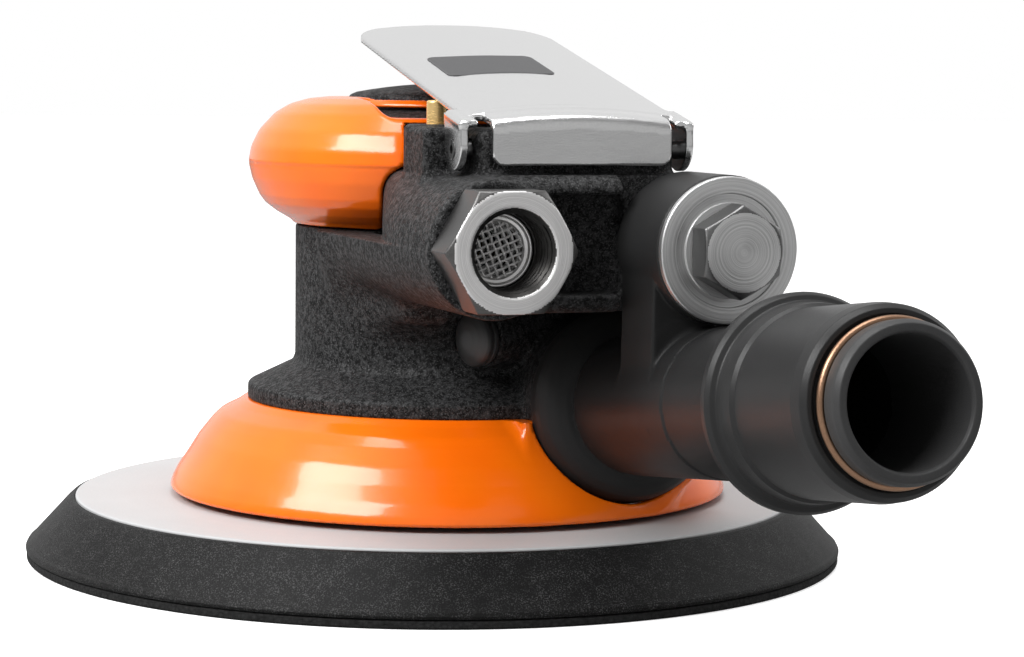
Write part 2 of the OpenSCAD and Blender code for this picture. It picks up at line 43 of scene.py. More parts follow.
# ---------------------------------------------------------------- dimensions
ORBIT_A = math.radians(161.6)
EX, EY = 2.5 * math.cos(ORBIT_A), 2.5 * math.sin(ORBIT_A)
PX, PZ = 18.0, 61.0                       # inlet and exhaust axes
PIVOT = (-61.0, 76.2)
STEM = (-17.6, -45.0)
TUBE_A = math.radians(6.67)
TUBE_O = np.array([18.0, -41.0, 31.6])
TUBE_D = np.array([0.0, -math.cos(TUBE_A), math.sin(TUBE_A)])   # along the tube
TUBE_U = np.array([0.0, math.sin(TUBE_A), math.cos(TUBE_A)])    # up across it
REG_A = math.radians(18.1)
REG_O = np.array([-7.0, -32.5, 42.6])
REG_D = np.array([math.cos(REG_A), math.sin(REG_A), 0.0])
REG_E = np.array([-math.sin(REG_A), math.cos(REG_A), 0.0])
LEV_A = math.radians(12.9)
LEV_R, LEV_HW, LEV_L, SHEET = 121.0, 18.4, 64.6, 1.3


# ---------------------------------------------------------------- shape maths
def smin(a, b, k):
    h = np.maximum(k - np.abs(a - b), 0) / k
    return np.minimum(a, b) - h * h * k * 0.25


def smax(a, b, k):
    return -smin(-a, -b, k)


def s_cyl(P, ax, c, lo, hi, r, rd=0.0, r2=None):
    """Capped cylinder, or cone from r at lo to r2 at hi, along axis ax."""
    o = [i for i in range(3) if i != ax]
    q = np.hypot(P[:, o[0]] - c[0], P[:, o[1]] - c[1])
    t = P[:, ax]
    if r2 is not None:
        r = r + (r2 - r) * np.clip((t - lo) / (hi - lo), 0, 1)
    dx = q - (r - rd)
    dy = np.abs(t - (lo + hi) / 2) - ((hi - lo) / 2 - rd)
    return np.minimum(np.maximum(dx, dy), 0) + np.hypot(np.maximum(dx, 0), np.maximum(dy, 0)) - rd


def s_box(P, lo, hi, rd=0.0):
    lo, hi = np.array(lo, float), np.array(hi, float)
    q = np.abs(P - (lo + hi) / 2) - ((hi - lo) / 2 - rd)
    return np.minimum(q.max(1), 0) + np.linalg.norm(np.maximum(q, 0), axis=1) - rd


def s_poly(x, y, pts):
    """Signed distance to a closed polygon in the plane."""
    pts = np.array(pts, float)
    n = len(pts)
    d = np.full(x.shape, 1e18)
    s = np.ones(x.shape)
    for i in range(n):
        a, b = pts[i], pts[i - 1]
        ex, ey = b[0] - a[0], b[1] - a[1]
        wx, wy = x - a[0], y - a[1]
        t = np.clip((wx * ex + wy * ey) / (ex * ex + ey * ey), 0, 1)
        d = np.minimum(d, (wx - ex * t) ** 2 + (wy - ey * t) ** 2)
        c1, c2, c3 = y >= a[1], y < b[1], ex * wy > ey * wx
        flip = (c1 & c2 & c3) | (~c1 & ~c2 & ~c3)
        s = np.where(flip, -s, s)
    return s * np.sqrt(d)


def s_rev(P, pts, rd=0.0):
    return s_poly(np.hypot(P[:, 0], P[:, 1]), P[:, 2], pts) - rd


def line_dist(x, y, pts):
    """Distance to an open polyline and the length along it of the nearest point."""
    best = np.full(x.shape, 1e18)
    along = np.zeros(x.shape)
    run = 0.0
    for a, b in zip(pts[:-1], pts[1:]):
        ex, ey = b[0] - a[0], b[1] - a[1]
        ln = math.hypot(ex, ey)
        first, last = a is pts[0], b is pts[-1]
        t = ((x - a[0]) * ex + (y - a[1]) * ey) / (ln * ln)
        tc = np.clip(t, -1e9 if first else 0, 1e9 if last else 1)
        d = (x - a[0] - ex * tc) ** 2 + (y - a[1] - ey * tc) ** 2
        near = d < best
        best = np.where(near, d, best)
        along = np.where(near, run + tc * ln, along)
        run += ln
    return np.sqrt(best), along


def local(P, o, d, u):
    """Coordinates of P in the frame at o: across, up (u) and along (d)."""
    q = P - o
    w = np.cross(u, d)
    return np.stack([q @ w, q @ u, q @ d], 1)


def rounded(pts, closed=False, seg=6):
    """Points (x, y, radius) as a path with round corners."""
    out = []
    n = len(pts)
    for i, p in enumerate(pts):
        r = p[2] if len(p) > 2 else 0
        if r <= 0 or (not closed and i in (0, n - 1)):
            out.append((p[0], p[1]))
            continue
        a, b = Vector(pts[i - 1][:2]), Vector(pts[(i + 1) % n][:2])
        c = Vector(p[:2])
        u, v = (a - c), (b - c)
        lu, lv = u.length, v.length
        u.normalize(), v.normalize()
        half = math.acos(max(-1, min(1, u.dot(v)))) / 2
        if half < 1e-3 or half > math.pi / 2 - 1e-3:
            out.append((p[0], p[1]))
            continue
        t = min(r / math.tan(half), lu * 0.49, lv * 0.49)
        r = t * math.tan(half)
        m = c + (u + v).normalized() * (r / math.sin(half))
        s, e = c + u * t - m, c + v * t - m
        a0, a1 = math.atan2(s.y, s.x), math.atan2(e.y, e.x)
        d = (a1 - a0 + math.pi) % (2 * math.pi) - math.pi
        for k in range(seg + 1):
            w = a0 + d * k / seg
            out.append((m.x + r * math.cos(w), m.y + r * math.sin(w)))
    return out


# ---------------------------------------------------------------- mesh makers
def new_object(name, verts, faces, smooth=True):
    me = bpy.data.meshes.new(name)
    me.from_pydata([tuple(v) for v in verts], [], [tuple(f) for f in faces])
    me.update()
    ob = bpy.data.objects.new(name, me)
    bpy.context.scene.collection.objects.link(ob)
    if smooth:
        me.polygons.foreach_set("use_smooth", [True] * len(me.polygons))
    return ob


def mesh_from_arrays(name, v, q):
    me = bpy.data.meshes.new(name)
    me.vertices.add(len(v))
    me.vertices.foreach_set("co", v.astype(np.float32).ravel())
    me.loops.add(q.size)
    me.loops.foreach_set("vertex_index", q.astype(np.int32).ravel())
    me.polygons.add(len(q))
    me.polygons.foreach_set("loop_start", np.arange(0, q.size, 4, dtype=np.int32))
    me.polygons.foreach_set("loop_total", np.full(len(q), 4, np.int32))
    me.update(calc_edges=True)
    me.validate()
    me.polygons.foreach_set("use_smooth", [True] * len(me.polygons))
    ob = bpy.data.objects.new(name, me)
    bpy.context.scene.collection.objects.link(ob)
    return ob


def solid(name, f, lo, hi, h, newton=3):
    """A closed quad mesh of the surface f = 0 (f in mm, negative inside), found on a
    grid of pitch h near the surface and then moved exactly onto it."""
    if not FINE:
        h = h * 1.6
    B = 8
    lo, hi = np.array(lo, float) - 2 * h, np.array(hi, float) + 2 * h
    nb = np.ceil((hi - lo) / (h * B)).astype(int)
    n = nb * B + 1
    axes = [lo[i] + (np.arange(nb[i]) + 0.5) * h * B for i in range(3)]
    C = np.stack(np.meshgrid(*axes, indexing="ij"), -1).reshape(-1, 3)
    cv = f(C)
    V = np.empty(tuple(n), np.float32)
    coarse = np.where(cv < 0, -9.0, 9.0).astype(np.float32).reshape(tuple(nb))
    ix = [np.minimum(np.arange(n[i]) // B, nb[i] - 1) for i in range(3)]
    V[:] = coarse[np.ix_(*ix)]
    near = np.argwhere((np.abs(cv) < h * B * 0.87 * 1.25 + h).reshape(tuple(nb)))
    r = np.arange(B + 1)
    off = np.stack(np.meshgrid(r, r, r, indexing="ij"), -1).reshape(-1, 3)
    step = max(1, 400000 // len(off))
    for s in range(0, len(near), step):
        b = near[s:s + step]
        idx = (b[:, None, :] * B + off[None]).reshape(-1, 3)
        V[idx[:, 0], idx[:, 1], idx[:, 2]] = f(lo + idx * h)
    ins = V < 0
    cnt = np.zeros(tuple(n - 1), np.uint8)
    corner = [(i, j, k) for i in (0, 1) for j in (0, 1) for k in (0, 1)]
    sl = lambda o: tuple(slice(o[i], n[i] - 1 + o[i]) for i in range(3))
    for o in corner:
        cnt += ins[sl(o)]
    cells = np.argwhere((cnt > 0) & (cnt < 8))
    ids = np.full(tuple(n - 1), -1, np.int32)
    ids[cells[:, 0], cells[:, 1], cells[:, 2]] = np.arange(len(cells))
    vals = {o: V[cells[:, 0] + o[0], cells[:, 1] + o[1], cells[:, 2] + o[2]].astype(float) for o in corner}
    acc, num = np.zeros((len(cells), 3)), np.zeros(len(cells))
    for o in corner:
        for ax in range(3):
            if o[ax]:
                continue
            e = list(o); e[ax] = 1; e = tuple(e)
            a, b = vals[o], vals[e]
            cross = (a < 0) != (b < 0)
            t = np.where(cross, a / np.where(cross, a - b, 1), 0)
            p = np.tile(np.array(o, float), (len(cells), 1))
            p[:, ax] = t
            acc += p * cross[:, None]
            num += cross
    P = lo + (cells + acc / num[:, None]) * h
    quads = []
    for ax in range(3):
        u, v = [(1, 2), (2, 0), (0, 1)][ax]
        a = ins[tuple(slice(0, n[i] - 1) if i == ax else slice(1, n[i] - 1) for i in range(3))]
        b = ins[tuple(slice(1, n[i]) if i == ax else slice(1, n[i] - 1) for i in range(3))]
        for first, second, flip in ((a, b, False), (b, a, True)):
            e = np.argwhere(first & ~second)
            e = e + np.array([0 if i == ax else 1 for i in range(3)])
            def cell(du, dv):
                c = e.copy(); c[:, u] -= du; c[:, v] -= dv
                return ids[c[:, 0], c[:, 1], c[:, 2]]
            q = np.stack([cell(1, 1), cell(0, 1), cell(0, 0), cell(1, 0)], 1)
            quads.append(q[:, ::-1] if flip else q)
    Q = np.concatenate(quads)
    Q = Q[(Q >= 0).all(1)]
    def grad(P):
        e = 0.02
        g = np.empty_like(P)
        for i in range(3):
            d = np.zeros(3); d[i] = e
            g[:, i] = (f(P + d) - f(P - d)) / (2 * e)
        return g
    base = P.copy()
    for _ in range(newton):
        g = grad(P)
        g2 = np.maximum((g * g).sum(1), 0.2)
        stepv = -(f(P) / g2)[:, None] * g
        ln = np.linalg.norm(stepv, axis=1)
        stepv *= np.minimum(1, 0.5 * h / np.maximum(ln, 1e-9))[:, None]
        P = P + stepv
        move = P - base
        lm = np.linalg.norm(move, axis=1)
        P = base + move * np.minimum(1, 0.9 * h / np.maximum(lm, 1e-9))[:, None]
    ob = mesh_from_arrays(name, P * MM, Q)
    g = grad(P)
    g /= np.maximum(np.linalg.norm(g, axis=1), 1e-9)[:, None]
    if len(ob.data.vertices) == len(g):
        ob.data.normals_split_custom_set_from_vertices(g.astype(np.float32))
    return ob


def placed(o, d, u):
    """Matrix from a frame whose local z is d and local y is u, at o (mm)."""
    w = np.cross(u, d)
    m = Matrix.Identity(4)
    for i in range(3):
        m[i][0], m[i][1], m[i][2], m[i][3] = w[i], u[i], d[i], o[i] * MM
    return m


def lathe(name, path, seg=160, matrix=None, closed=True, wobble=None):
    """Surface of revolution about local z from points (r, z) in mm, welded on the axis."""
    if not FINE:
        seg = max(48, seg // 2)
    bm = bmesh.new()
    rings = []
    for r, z in path:
        if r < 1e-6:
            rings.append([bm.verts.new((0, 0, z * MM))])
        else:
            ring = []
            for i in range(seg):
                a = 2 * math.pi * i / seg
                rr, zz = (r, z) if wobble is None else wobble(r, z, a)
                ring.append(bm.verts.new((rr * math.cos(a) * MM, rr * math.sin(a) * MM, zz * MM)))
            rings.append(ring)
    pairs = list(zip(rings[:-1], rings[1:]))
    if closed:
        pairs.append((rings[-1], rings[0]))
    for a, b in pairs:
        if len(a) == 1 and len(b) == 1:
            continue
        for i in range(seg):
            j = (i + 1) % seg
            if len(a) == 1:
                bm.faces.new((a[0], b[i], b[j]))
            elif len(b) == 1:
                bm.faces.new((a[i], b[0], a[j]))
            else:
                bm.faces.new((a[i], b[i], b[j], a[j]))
    bmesh.ops.recalc_face_normals(bm, faces=bm.faces)
    me = bpy.data.meshes.new(name)
    bm.to_mesh(me); bm.free()
    if matrix is not None:
        me.transform(matrix)
    ob = bpy.data.objects.new(name, me)
    bpy.context.scene.collection.objects.link(ob)
    sharp(ob, 32)
    return ob


def sharp(ob, deg):
    """Smooth shading with edges sharper than deg kept."""
    me = ob.data
    me.polygons.foreach_set("use_smooth", [True] * len(me.polygons))
    me.set_sharp_from_angle(angle=math.radians(deg))


def sweep(name, pts, rad, sides=10, closed=False, caps=True):
    """A round wire along points in mm."""
    P = [Vector(p) for p in pts]
    n = len(P)
    bm = bmesh.new()
    rings = []
    prev = None
    for i, p in enumerate(P):
        t = (P[(i + 1) % n] - P[i - 1]) if closed else (P[min(i + 1, n - 1)] - P[max(i - 1, 0)])
        t.normalize()
        if prev is None:
            ref = Vector((0, 0, 1)) if abs(t.z) < 0.9 else Vector((1, 0, 0))
            x = t.cross(ref).normalized()
        else:
            x = (prev - t * prev.dot(t)).normalized()
        prev = x
        y = t.cross(x)
        r = rad(i / (n - 1)) if callable(rad) else rad
        rings.append([bm.verts.new((p + x * (r * math.cos(2 * math.pi * k / sides)) + y * (r * math.sin(2 * math.pi * k / sides))) * MM)
                      for k in range(sides)])
    pairs = list(zip(rings[:-1], rings[1:])) + ([(rings[-1], rings[0])] if closed else [])
    for a, b in pairs:
        for k in range(sides):
            j = (k + 1) % sides
            bm.faces.new((a[k], a[j], b[j], b[k]))
    if caps and not closed:
        bm.faces.new(rings[0]); bm.faces.new(rings[-1][::-1])
    bmesh.ops.recalc_face_normals(bm, faces=bm.faces)
    me = bpy.data.meshes.new(name)
    bm.to_mesh(me); bm.free()
    ob = bpy.data.objects.new(name, me)
    bpy.context.scene.collection.objects.link(ob)
    sharp(ob, 50)
    return ob


# ---------------------------------------------------------------- node helpers
class Mat:
    """A small builder for node materials. Coordinates are object space, in mm."""

    def __init__(self, name, base, rough=0.5, metal=0.0, coat=0.0, coat_rough=0.1, spec=0.5, sheen=0.0):
        self.m = bpy.data.materials.new(name)
        self.m.use_nodes = True
        self.nt = self.m.node_tree
        self.n, self.l = self.nt.nodes, self.nt.links
        self.b = self.n["Principled BSDF"]
        self.b.inputs["Base Color"].default_value = (*base, 1)
        self.b.inputs["Roughness"].default_value = rough
        self.b.inputs["Metallic"].default_value = metal
        self.b.inputs["Coat Weight"].default_value = coat
        self.b.inputs["Coat Roughness"].default_value = coat_rough
        self.b.inputs["Specular IOR Level"].default_value = spec
        self.b.inputs["Sheen Weight"].default_value = sheen
        tc = self.n.new("ShaderNodeTexCoord")
        mp = self.n.new("ShaderNodeMapping")
        mp.inputs["Scale"].default_value = (1000, 1000, 1000)
        self.l.new(tc.outputs["Object"], mp.inputs["Vector"])
        self.co = mp.outputs["Vector"]
        self.last_bump = None

    def math(self, op, a, b=None, c=None, clamp=False):
        nd = self.n.new("ShaderNodeMath")
        nd.operation = op
        nd.use_clamp = clamp
        for i, v in enumerate((a, b, c)):
            if v is None:
                continue
            if isinstance(v, (int, float)):
                nd.inputs[i].default_value = v
            else:
                self.l.new(v, nd.inputs[i])
        return nd.outputs[0]

    def noise(self, scale, detail=3.0, rough=0.55, co=None, stretch=None, dist=0.0):
        src = co or self.co
        if stretch:
            mp = self.n.new("ShaderNodeMapping")
            mp.inputs["Scale"].default_value = stretch
            self.l.new(src, mp.inputs["Vector"])
            src = mp.outputs["Vector"]
        t = self.n.new("ShaderNodeTexNoise")
        t.inputs["Scale"].default_value = scale
        t.inputs["Detail"].default_value = detail
        t.inputs["Roughness"].default_value = rough
        t.inputs["Distortion"].default_value = dist
        self.l.new(src, t.inputs["Vector"])
        return t.outputs["Fac"]

    def cells(self, scale, feature="SMOOTH_F1", smooth=0.6, co=None):
        t = self.n.new("ShaderNodeTexVoronoi")
        t.feature = feature
        t.inputs["Scale"].default_value = scale
        if feature == "SMOOTH_F1":
            t.inputs["Smoothness"].default_value = smooth
        self.l.new(co or self.co, t.inputs["Vector"])
        return t.outputs["Distance"]

    def ramp(self, fac, stops):
        r = self.n.new("ShaderNodeValToRGB")
        el = r.color_ramp.elements
        while len(el) < len(stops):
            el.new(0.5)
        for e, (p, c) in zip(el, stops):
            e.position = p
            c = (c, c, c) if isinstance(c, (int, float)) else c
            e.color = (*c, 1)
        self.l.new(fac, r.inputs["Fac"])
        return r.outputs["Color"]

    def mix(self, fac, a, b):
        m = self.n.new("ShaderNodeMix")
        m.data_type = "RGBA"
        for sock, v in ((m.inputs[0], fac), (m.inputs[6], a), (m.inputs[7], b)):
            if isinstance(v, (int, float)):
                sock.default_value = v
            elif isinstance(v, tuple):
                sock.default_value = (*v, 1)
            else:
                self.l.new(v, sock)
        return m.outputs[2]

    def color(self, sock):
        self.l.new(sock, self.b.inputs["Base Color"])
        return self

    def rough(self, fac, lo, hi):
        r = self.n.new("ShaderNodeMapRange")
        r.inputs["To Min"].default_value = lo
        r.inputs["To Max"].default_value = hi
        r.inputs["From Min"].default_value = 0.25
        r.inputs["From Max"].default_value = 0.75
        self.l.new(fac, r.inputs["Value"])
        self.l.new(r.outputs["Result"], self.b.inputs["Roughness"])
        return self

    def bump(self, height, dist_mm, strength=1.0):
        b = self.n.new("ShaderNodeBump")
        b.inputs["Distance"].default_value = dist_mm * MM
        b.inputs["Strength"].default_value = strength
        self.l.new(height, b.inputs["Height"])
        if self.last_bump is not None:
            self.l.new(self.last_bump, b.inputs["Normal"])
        self.last_bump = b.outputs["Normal"]
        self.l.new(self.last_bump, self.b.inputs["Normal"])
        return self

    def radius(self, centre, axis):
        """Distance in mm from a line through centre along axis (unit vectors)."""
        sub = self.n.new("ShaderNodeVectorMath")
        sub.operation = "SUBTRACT"
        self.l.new(self.co, sub.inputs[0])
        sub.inputs[1].default_value = centre
        cr = self.n.new("ShaderNodeVectorMath")
        cr.operation = "CROSS_PRODUCT"
        self.l.new(sub.outputs[0], cr.inputs[0])
        cr.inputs[1].default_value = axis
        ln = self.n.new("ShaderNodeVectorMath")
        ln.operation = "LENGTH"
        self.l.new(cr.outputs[0], ln.inputs[0])
        return ln.outputs["Value"], cr.outputs[0]

    def rings(self, centre, axis, pitch):
        """Irregular turned rings about an axis, as one-dimensional noise of the radius."""
        r, _ = self.radius(centre, axis)
        t = self.n.new("ShaderNodeTexNoise")
        t.noise_dimensions = "1D"
        t.inputs["Scale"].default_value = 1.0 / pitch
        t.inputs["Detail"].default_value = 2.5
        t.inputs["Roughness"].default_value = 0.7
        self.l.new(r, t.inputs["W"])
        return t.outputs["Fac"]


def metal(name, base, rough, grain=None, rings=None, dark=0.6, bump=0.02):
    m = Mat(name, base, rough, metal=1.0)
    blotch = m.noise(0.12, 3)
    if rings:
        c, ax, pitch = rings
        g = m.rings(c, ax, pitch)
    elif grain:
        g = m.noise(1.0, 3, 0.6, stretch=grain)
    else:
        g = m.noise(4.0, 4, 0.6)
    col = m.mix(m.math("MULTIPLY_ADD", g, 1.6, -0.3, clamp=True), tuple(c * dark for c in base), base)
    col = m.mix(m.math("MULTIPLY", blotch, 0.35), col, tuple(c * 0.72 for c in base))
    m.color(col)
    m.rough(m.math("ADD", m.math("MULTIPLY", g, 0.6), m.math("MULTIPLY", blotch, 0.4)), rough * 0.75, rough * 1.35)
    m.bump(g, bump)
    return m.m


def make_materials():
    M = {}
    # fine wrinkle on the moulded composite over a coarser leathery grain
    m = Mat("wrinkle_black", (0.012, 0.012, 0.0125), 0.55, spec=0.14)
    fine = m.cells(2.4, smooth=0.7)
    fine2 = m.noise(5.0, 3, 0.6)
    specks = m.noise(3.4, 2, 0.5)
    coarse = m.cells(0.9, smooth=0.85)
    h = m.math("ADD", m.math("MULTIPLY", fine, 0.75), m.math("MULTIPLY", fine2, 0.6))
    spk = m.math("MULTIPLY_ADD", specks, 7.0, -3.75, clamp=True)
    mott = m.math("MULTIPLY_ADD", m.noise(1.05, 4, 0.75), 5.5, -2.4, clamp=True)
    soft = m.noise(0.09, 2)
    col = m.mix(mott, (0.003, 0.003, 0.0031), (0.05, 0.05, 0.051))
    col = m.mix(m.math("MULTIPLY", spk, 0.8), col, (0.11, 0.11, 0.112))
    col = m.mix(m.math("MULTIPLY", soft, 0.4), col, (0.008, 0.008, 0.0082))
    m.color(col)
    m.rough(mott, 0.62, 0.5)
    m.bump(coarse, 0.12, 0.7)
    m.bump(h, 0.09, 0.8)
    M["housing"] = m.m

    for nm in ("grip", "shroud"):
        m = Mat(nm + "_orange", (1.0, 0.165, 0.002), 0.2, coat=0.35, coat_rough=0.06, spec=0.4)
        soft = m.noise(0.05, 2)
        fine = m.noise(1.4, 3, 0.5)
        m.color(m.mix(m.math("MULTIPLY_ADD", soft, 1.6, -0.3, clamp=True), (0.95, 0.125, 0.001), (1.0, 0.19, 0.003)))
        m.rough(fine, 0.17, 0.27)
        m.bump(fine, 0.012, 0.6)
        M[nm] = m.m

    M["steel_turned"] = metal("turned_hexagon", (0.97, 0.96, 0.955), 0.5, rings=((-PX, 0, PZ), (0, 1, 0), 0.2), dark=0.68, bump=0.05)
    # painted shade: the bushing's bore gets a near-black copy of its steel, the darkness of the recess painted into
    # the colour
    M["hexagon_bore_painted_shade"] = metal("hexagon_bore_painted_shade", (0.06, 0.058, 0.056), 0.42, bump=0.01)
    # painted shade: the hexagon's flats and chamfers get a dark copy of the same steel as its bright turned face,
    # shade painted into the colour
    M["hexagon_side_painted_shade"] = metal("hexagon_side_painted_shade", (0.16, 0.157, 0.155), 0.36, bump=0.015)
    # painted shade: the lug bolt's flats, chamfer and shank get a dark copy of the steel of its bright turned face
    M["bolt_side_painted_shade"] = metal("bolt_side_painted_shade", (0.22, 0.22, 0.22), 0.34, bump=0.015)
    M["bolt_steel"] = metal("turned_bolt", (0.86, 0.86, 0.86), 0.4, rings=((PX, 0, PZ), (0, 1, 0), 0.3), dark=0.5, bump=0.05)
    M["washer"] = metal("turned_washer", (0.88, 0.88, 0.88), 0.42, rings=((PX, 0, PZ), (0, 1, 0), 0.36), dark=0.5, bump=0.05)
    M["fastener_steel"] = metal("plated_steel", (0.5, 0.5, 0.5), 0.32)
    M["motor_steel"] = metal("ground_steel", (0.55, 0.55, 0.56), 0.28, grain=(6, 6, 0.6))
    M["bearing_steel"] = metal("bearing_steel", (0.72, 0.72, 0.73), 0.16)
    M["spring_steel"] = metal("spring_steel", (0.2, 0.2, 0.2), 0.33)
    M["screen"] = metal("screen_wire", (0.97, 0.96, 0.95), 0.45, dark=0.85, bump=0.004)
    M["screen"].node_tree.nodes["Principled BSDF"].inputs["Metallic"].default_value = 0.35
    M["screen_ring"] = metal("screen_ring", (0.9, 0.89, 0.88), 0.35, dark=0.75)
    M["lock_ring"] = metal("turned_aluminium", (0.74, 0.74, 0.75), 0.34, rings=((0, 0, 0), (0, 0, 1), 0.4), dark=0.7)
    M["brass"] = metal("turned_brass", (0.95, 0.66, 0.28), 0.24, grain=(0.6, 0.6, 8), dark=0.75)
    M["brass"].node_tree.nodes["Principled BSDF"].inputs["Metallic"].default_value = 0.6
    M["copper_ring"] = metal("copper_wire", (0.42, 0.25, 0.16), 0.34)

    # polished sheet, with fine grain along the lever and slight waviness
    m = Mat("polished_sheet", (0.9, 0.9, 0.9), 0.13, metal=1.0)
    grain = m.noise(1.0, 3, 0.6, stretch=(7.0, 0.25, 7.0))
    fine = m.noise(3.2, 4, 0.65)
    wav = m.noise(0.16, 3)
    m.color(m.mix(m.math("MULTIPLY", fine, 0.7), (0.93, 0.93, 0.93), (0.72, 0.72, 0.72)))
    m.rough(fine, 0.09, 0.24)
    m.bump(wav, 0.10, 0.5)
    m.bump(fine, 0.018, 0.8)
    m.bump(grain, 0.004, 0.8)
    M["lever"] = m.m

    m = Mat("blank_label", (0.06, 0.06, 0.062), 0.5, spec=0.3)
    f = m.noise(3.0, 3)
    m.color(m.mix(f, (0.045, 0.045, 0.047), (0.08, 0.08, 0.082)))
    m.bump(f, 0.01)
    M["label"] = m.m

    # the tube_end entry is a lighter copy of the tube's own satin black for the tube's tip: light on the end face
    # painted into its colour
    for key, nm, lo, hi, r0, r1 in (("tube", "satin_tube", 0.013, 0.023, 0.38, 0.48),
                                    ("adapter", "satin_adapter", 0.016, 0.028, 0.32, 0.42),
                                    ("tube_end", "satin_tube_end_painted_light", 0.03, 0.055, 0.36, 0.46),
                                    ("regulator", "satin_knob", 0.032, 0.045, 0.34, 0.42)):
        m = Mat(nm, (lo, lo, lo), 0.35, spec=0.55 if key == "regulator" else 0.22)
        f = m.noise(4.2, 3, 0.6)
        s = m.noise(0.11, 3)
        m.color(m.mix(m.math("ADD", m.math("MULTIPLY", f, 0.6), m.math("MULTIPLY", s, 0.4)), (lo, lo, lo), (hi, hi, hi * 1.02)))
        m.rough(m.math("ADD", m.math("MULTIPLY", f, 0.5), m.math("MULTIPLY", s, 0.5)), r0, r1)
        m.bump(f, 0.035, 0.7)
        M[key] = m.m

    m = Mat("moulded_grey", (0.52, 0.52, 0.515), 0.55)
    f = m.noise(2.6, 3)
    r, _ = m.radius((EX, EY, 0), (0, 0, 1))
    rg = m.math("SINE", m.math("MULTIPLY", r, 1.9))
    s = m.noise(0.06, 3)
    m.color(m.mix(m.math("MULTIPLY_ADD", s, 0.8, 0.1, clamp=True), (0.4, 0.402, 0.405), (0.47, 0.473, 0.476)))
    m.rough(f, 0.45, 0.62)
    m.bump(rg, 0.012, 0.5)
    m.bump(f, 0.02, 0.6)
    M["pad_plate"] = m.m

    # skinned foam: dark with a fine pale speckle
    m = Mat("foam_skin", (0.01, 0.01, 0.01), 0.5, spec=0.13)
    sp = m.noise(4.2, 2, 0.6)
    sp2 = m.noise(9.0, 2, 0.6)
    bl = m.noise(0.07, 2)
    wide = m.noise(0.35, 3, 0.6)
    specks = m.math("MULTIPLY", m.math("MULTIPLY_ADD", sp, 6.0, -3.1, clamp=True), m.math("MULTIPLY_ADD", wide, 2.4, -0.6, clamp=True))
    dk = m.mix(bl, (0.003, 0.003, 0.003), (0.007, 0.007, 0.007))
    m.color(m.mix(m.math("MULTIPLY", specks, 0.6), dk, (0.13, 0.13, 0.13)))
    m.rough(sp2, 0.42, 0.58)
    m.bump(m.math("ADD", sp, m.math("MULTIPLY", sp2, 0.7)), 0.07, 0.6)
    M["pad_foam"] = m.m

    m = Mat("hook_tape", (0.02, 0.02, 0.02), 0.8, spec=0.2)
    c = m.cells(1.3, "F1")
    f = m.noise(6, 3)
    m.color(m.mix(c, (0.03, 0.03, 0.03), (0.008, 0.008, 0.008)))
    m.bump(m.math("SUBTRACT", f, c), 0.3, 0.9)
    M["hook_face"] = m.m

    m = Mat("seal_rubber", (0.02, 0.02, 0.02), 0.5)
    f = m.noise(3, 3)
    m.color(m.mix(f, (0.015, 0.015, 0.015), (0.035, 0.035, 0.035)))
    m.bump(f, 0.02)
    M["seal_rubber"] = m.m

    m = Mat("pressed_felt", (0.55, 0.5, 0.42), 0.9, sheen=0.5)
    f = m.noise(5, 4, 0.7, dist=1.5)
    m.color(m.mix(f, (0.42, 0.38, 0.31), (0.62, 0.57, 0.49)))
    m.bump(f, 0.1)
    M["felt"] = m.m

    m = Mat("phenolic_vane", (0.3, 0.15, 0.07), 0.45)
    f = m.noise(1.0, 3, stretch=(1, 1, 6))
    m.color(m.mix(f, (0.22, 0.1, 0.045), (0.38, 0.2, 0.1)))
    m.bump(f, 0.02)
    M["vane"] = m.m
    return M


M = make_materials()


def finish_piece(ob, body, slot, nodes, mat=None, second=None):
    ob.data.materials.clear()
    ob.data.materials.append(M[mat or slot])
    if second:
        ob.data.materials.append(M[second])
    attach(ob, body)
    if nodes:
        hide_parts(*nodes)
    return ob


# ---------------------------------------------------------------- housing
DOME = [(r, 86.75 - r * r / 177.0) for r in (17.4, 15, 12, 9, 6, 3, 0)]
HOUSING = rounded([(0, 29), (37, 29, 0.3), (37, 31.6, 0.7), (28.9, 35.5, 1.6), (28.35, 36.9, 2.0),
                   (28.35, 60.75, 0.3), (26.6, 60.9), (26.6, 80.5), (19.05, 82.2, 0.3), (18.75, 84.45, 0.9)] + DOME, closed=True)


def f_housing_upper(P):
    d = s_rev(P, HOUSING)
    block = s_cyl(P, 1, (-PX, PZ), -77, -14, 11, 0.9)
    # the port barrel thins towards the body, so the grip runs on behind it
    block = smax(block, -0.951 * (P[:, 0] + 28.6) + 0.309 * (P[:, 1] + 50), 4.0)
    ex = s_cyl(P, 1, (PX, PZ), -66.8, -14, 11, 0.5)
    bridge = s_box(P, (-18, -71, 50.2), (18, -20, 72.3), 3.6)
    lower = s_box(P, (14, -60, 50.2), (27.5, -20, 62.2), 2.4)
    block = smin(smin(block, ex, 1.0), bridge, 1.6)
    # the hinge support and the stem's boss stand on the block
    hinge = s_box(P, (-17.2, -65.2, 64), (17.2, -46, 79.6), 2.4)
    boss = s_cyl(P, 2, (STEM[0], STEM[1]), 60, 80, 5.4, 1.1)
    boss = smin(boss, s_box(P, (-23, -55.4, 60), (-14, -45, 79.6), 1.1), 0.5)
    top = smin(hinge, boss, 0.8)
    block = smin(block, top, 1.5)
    return smin(d, block, 1.2), block, lower, d


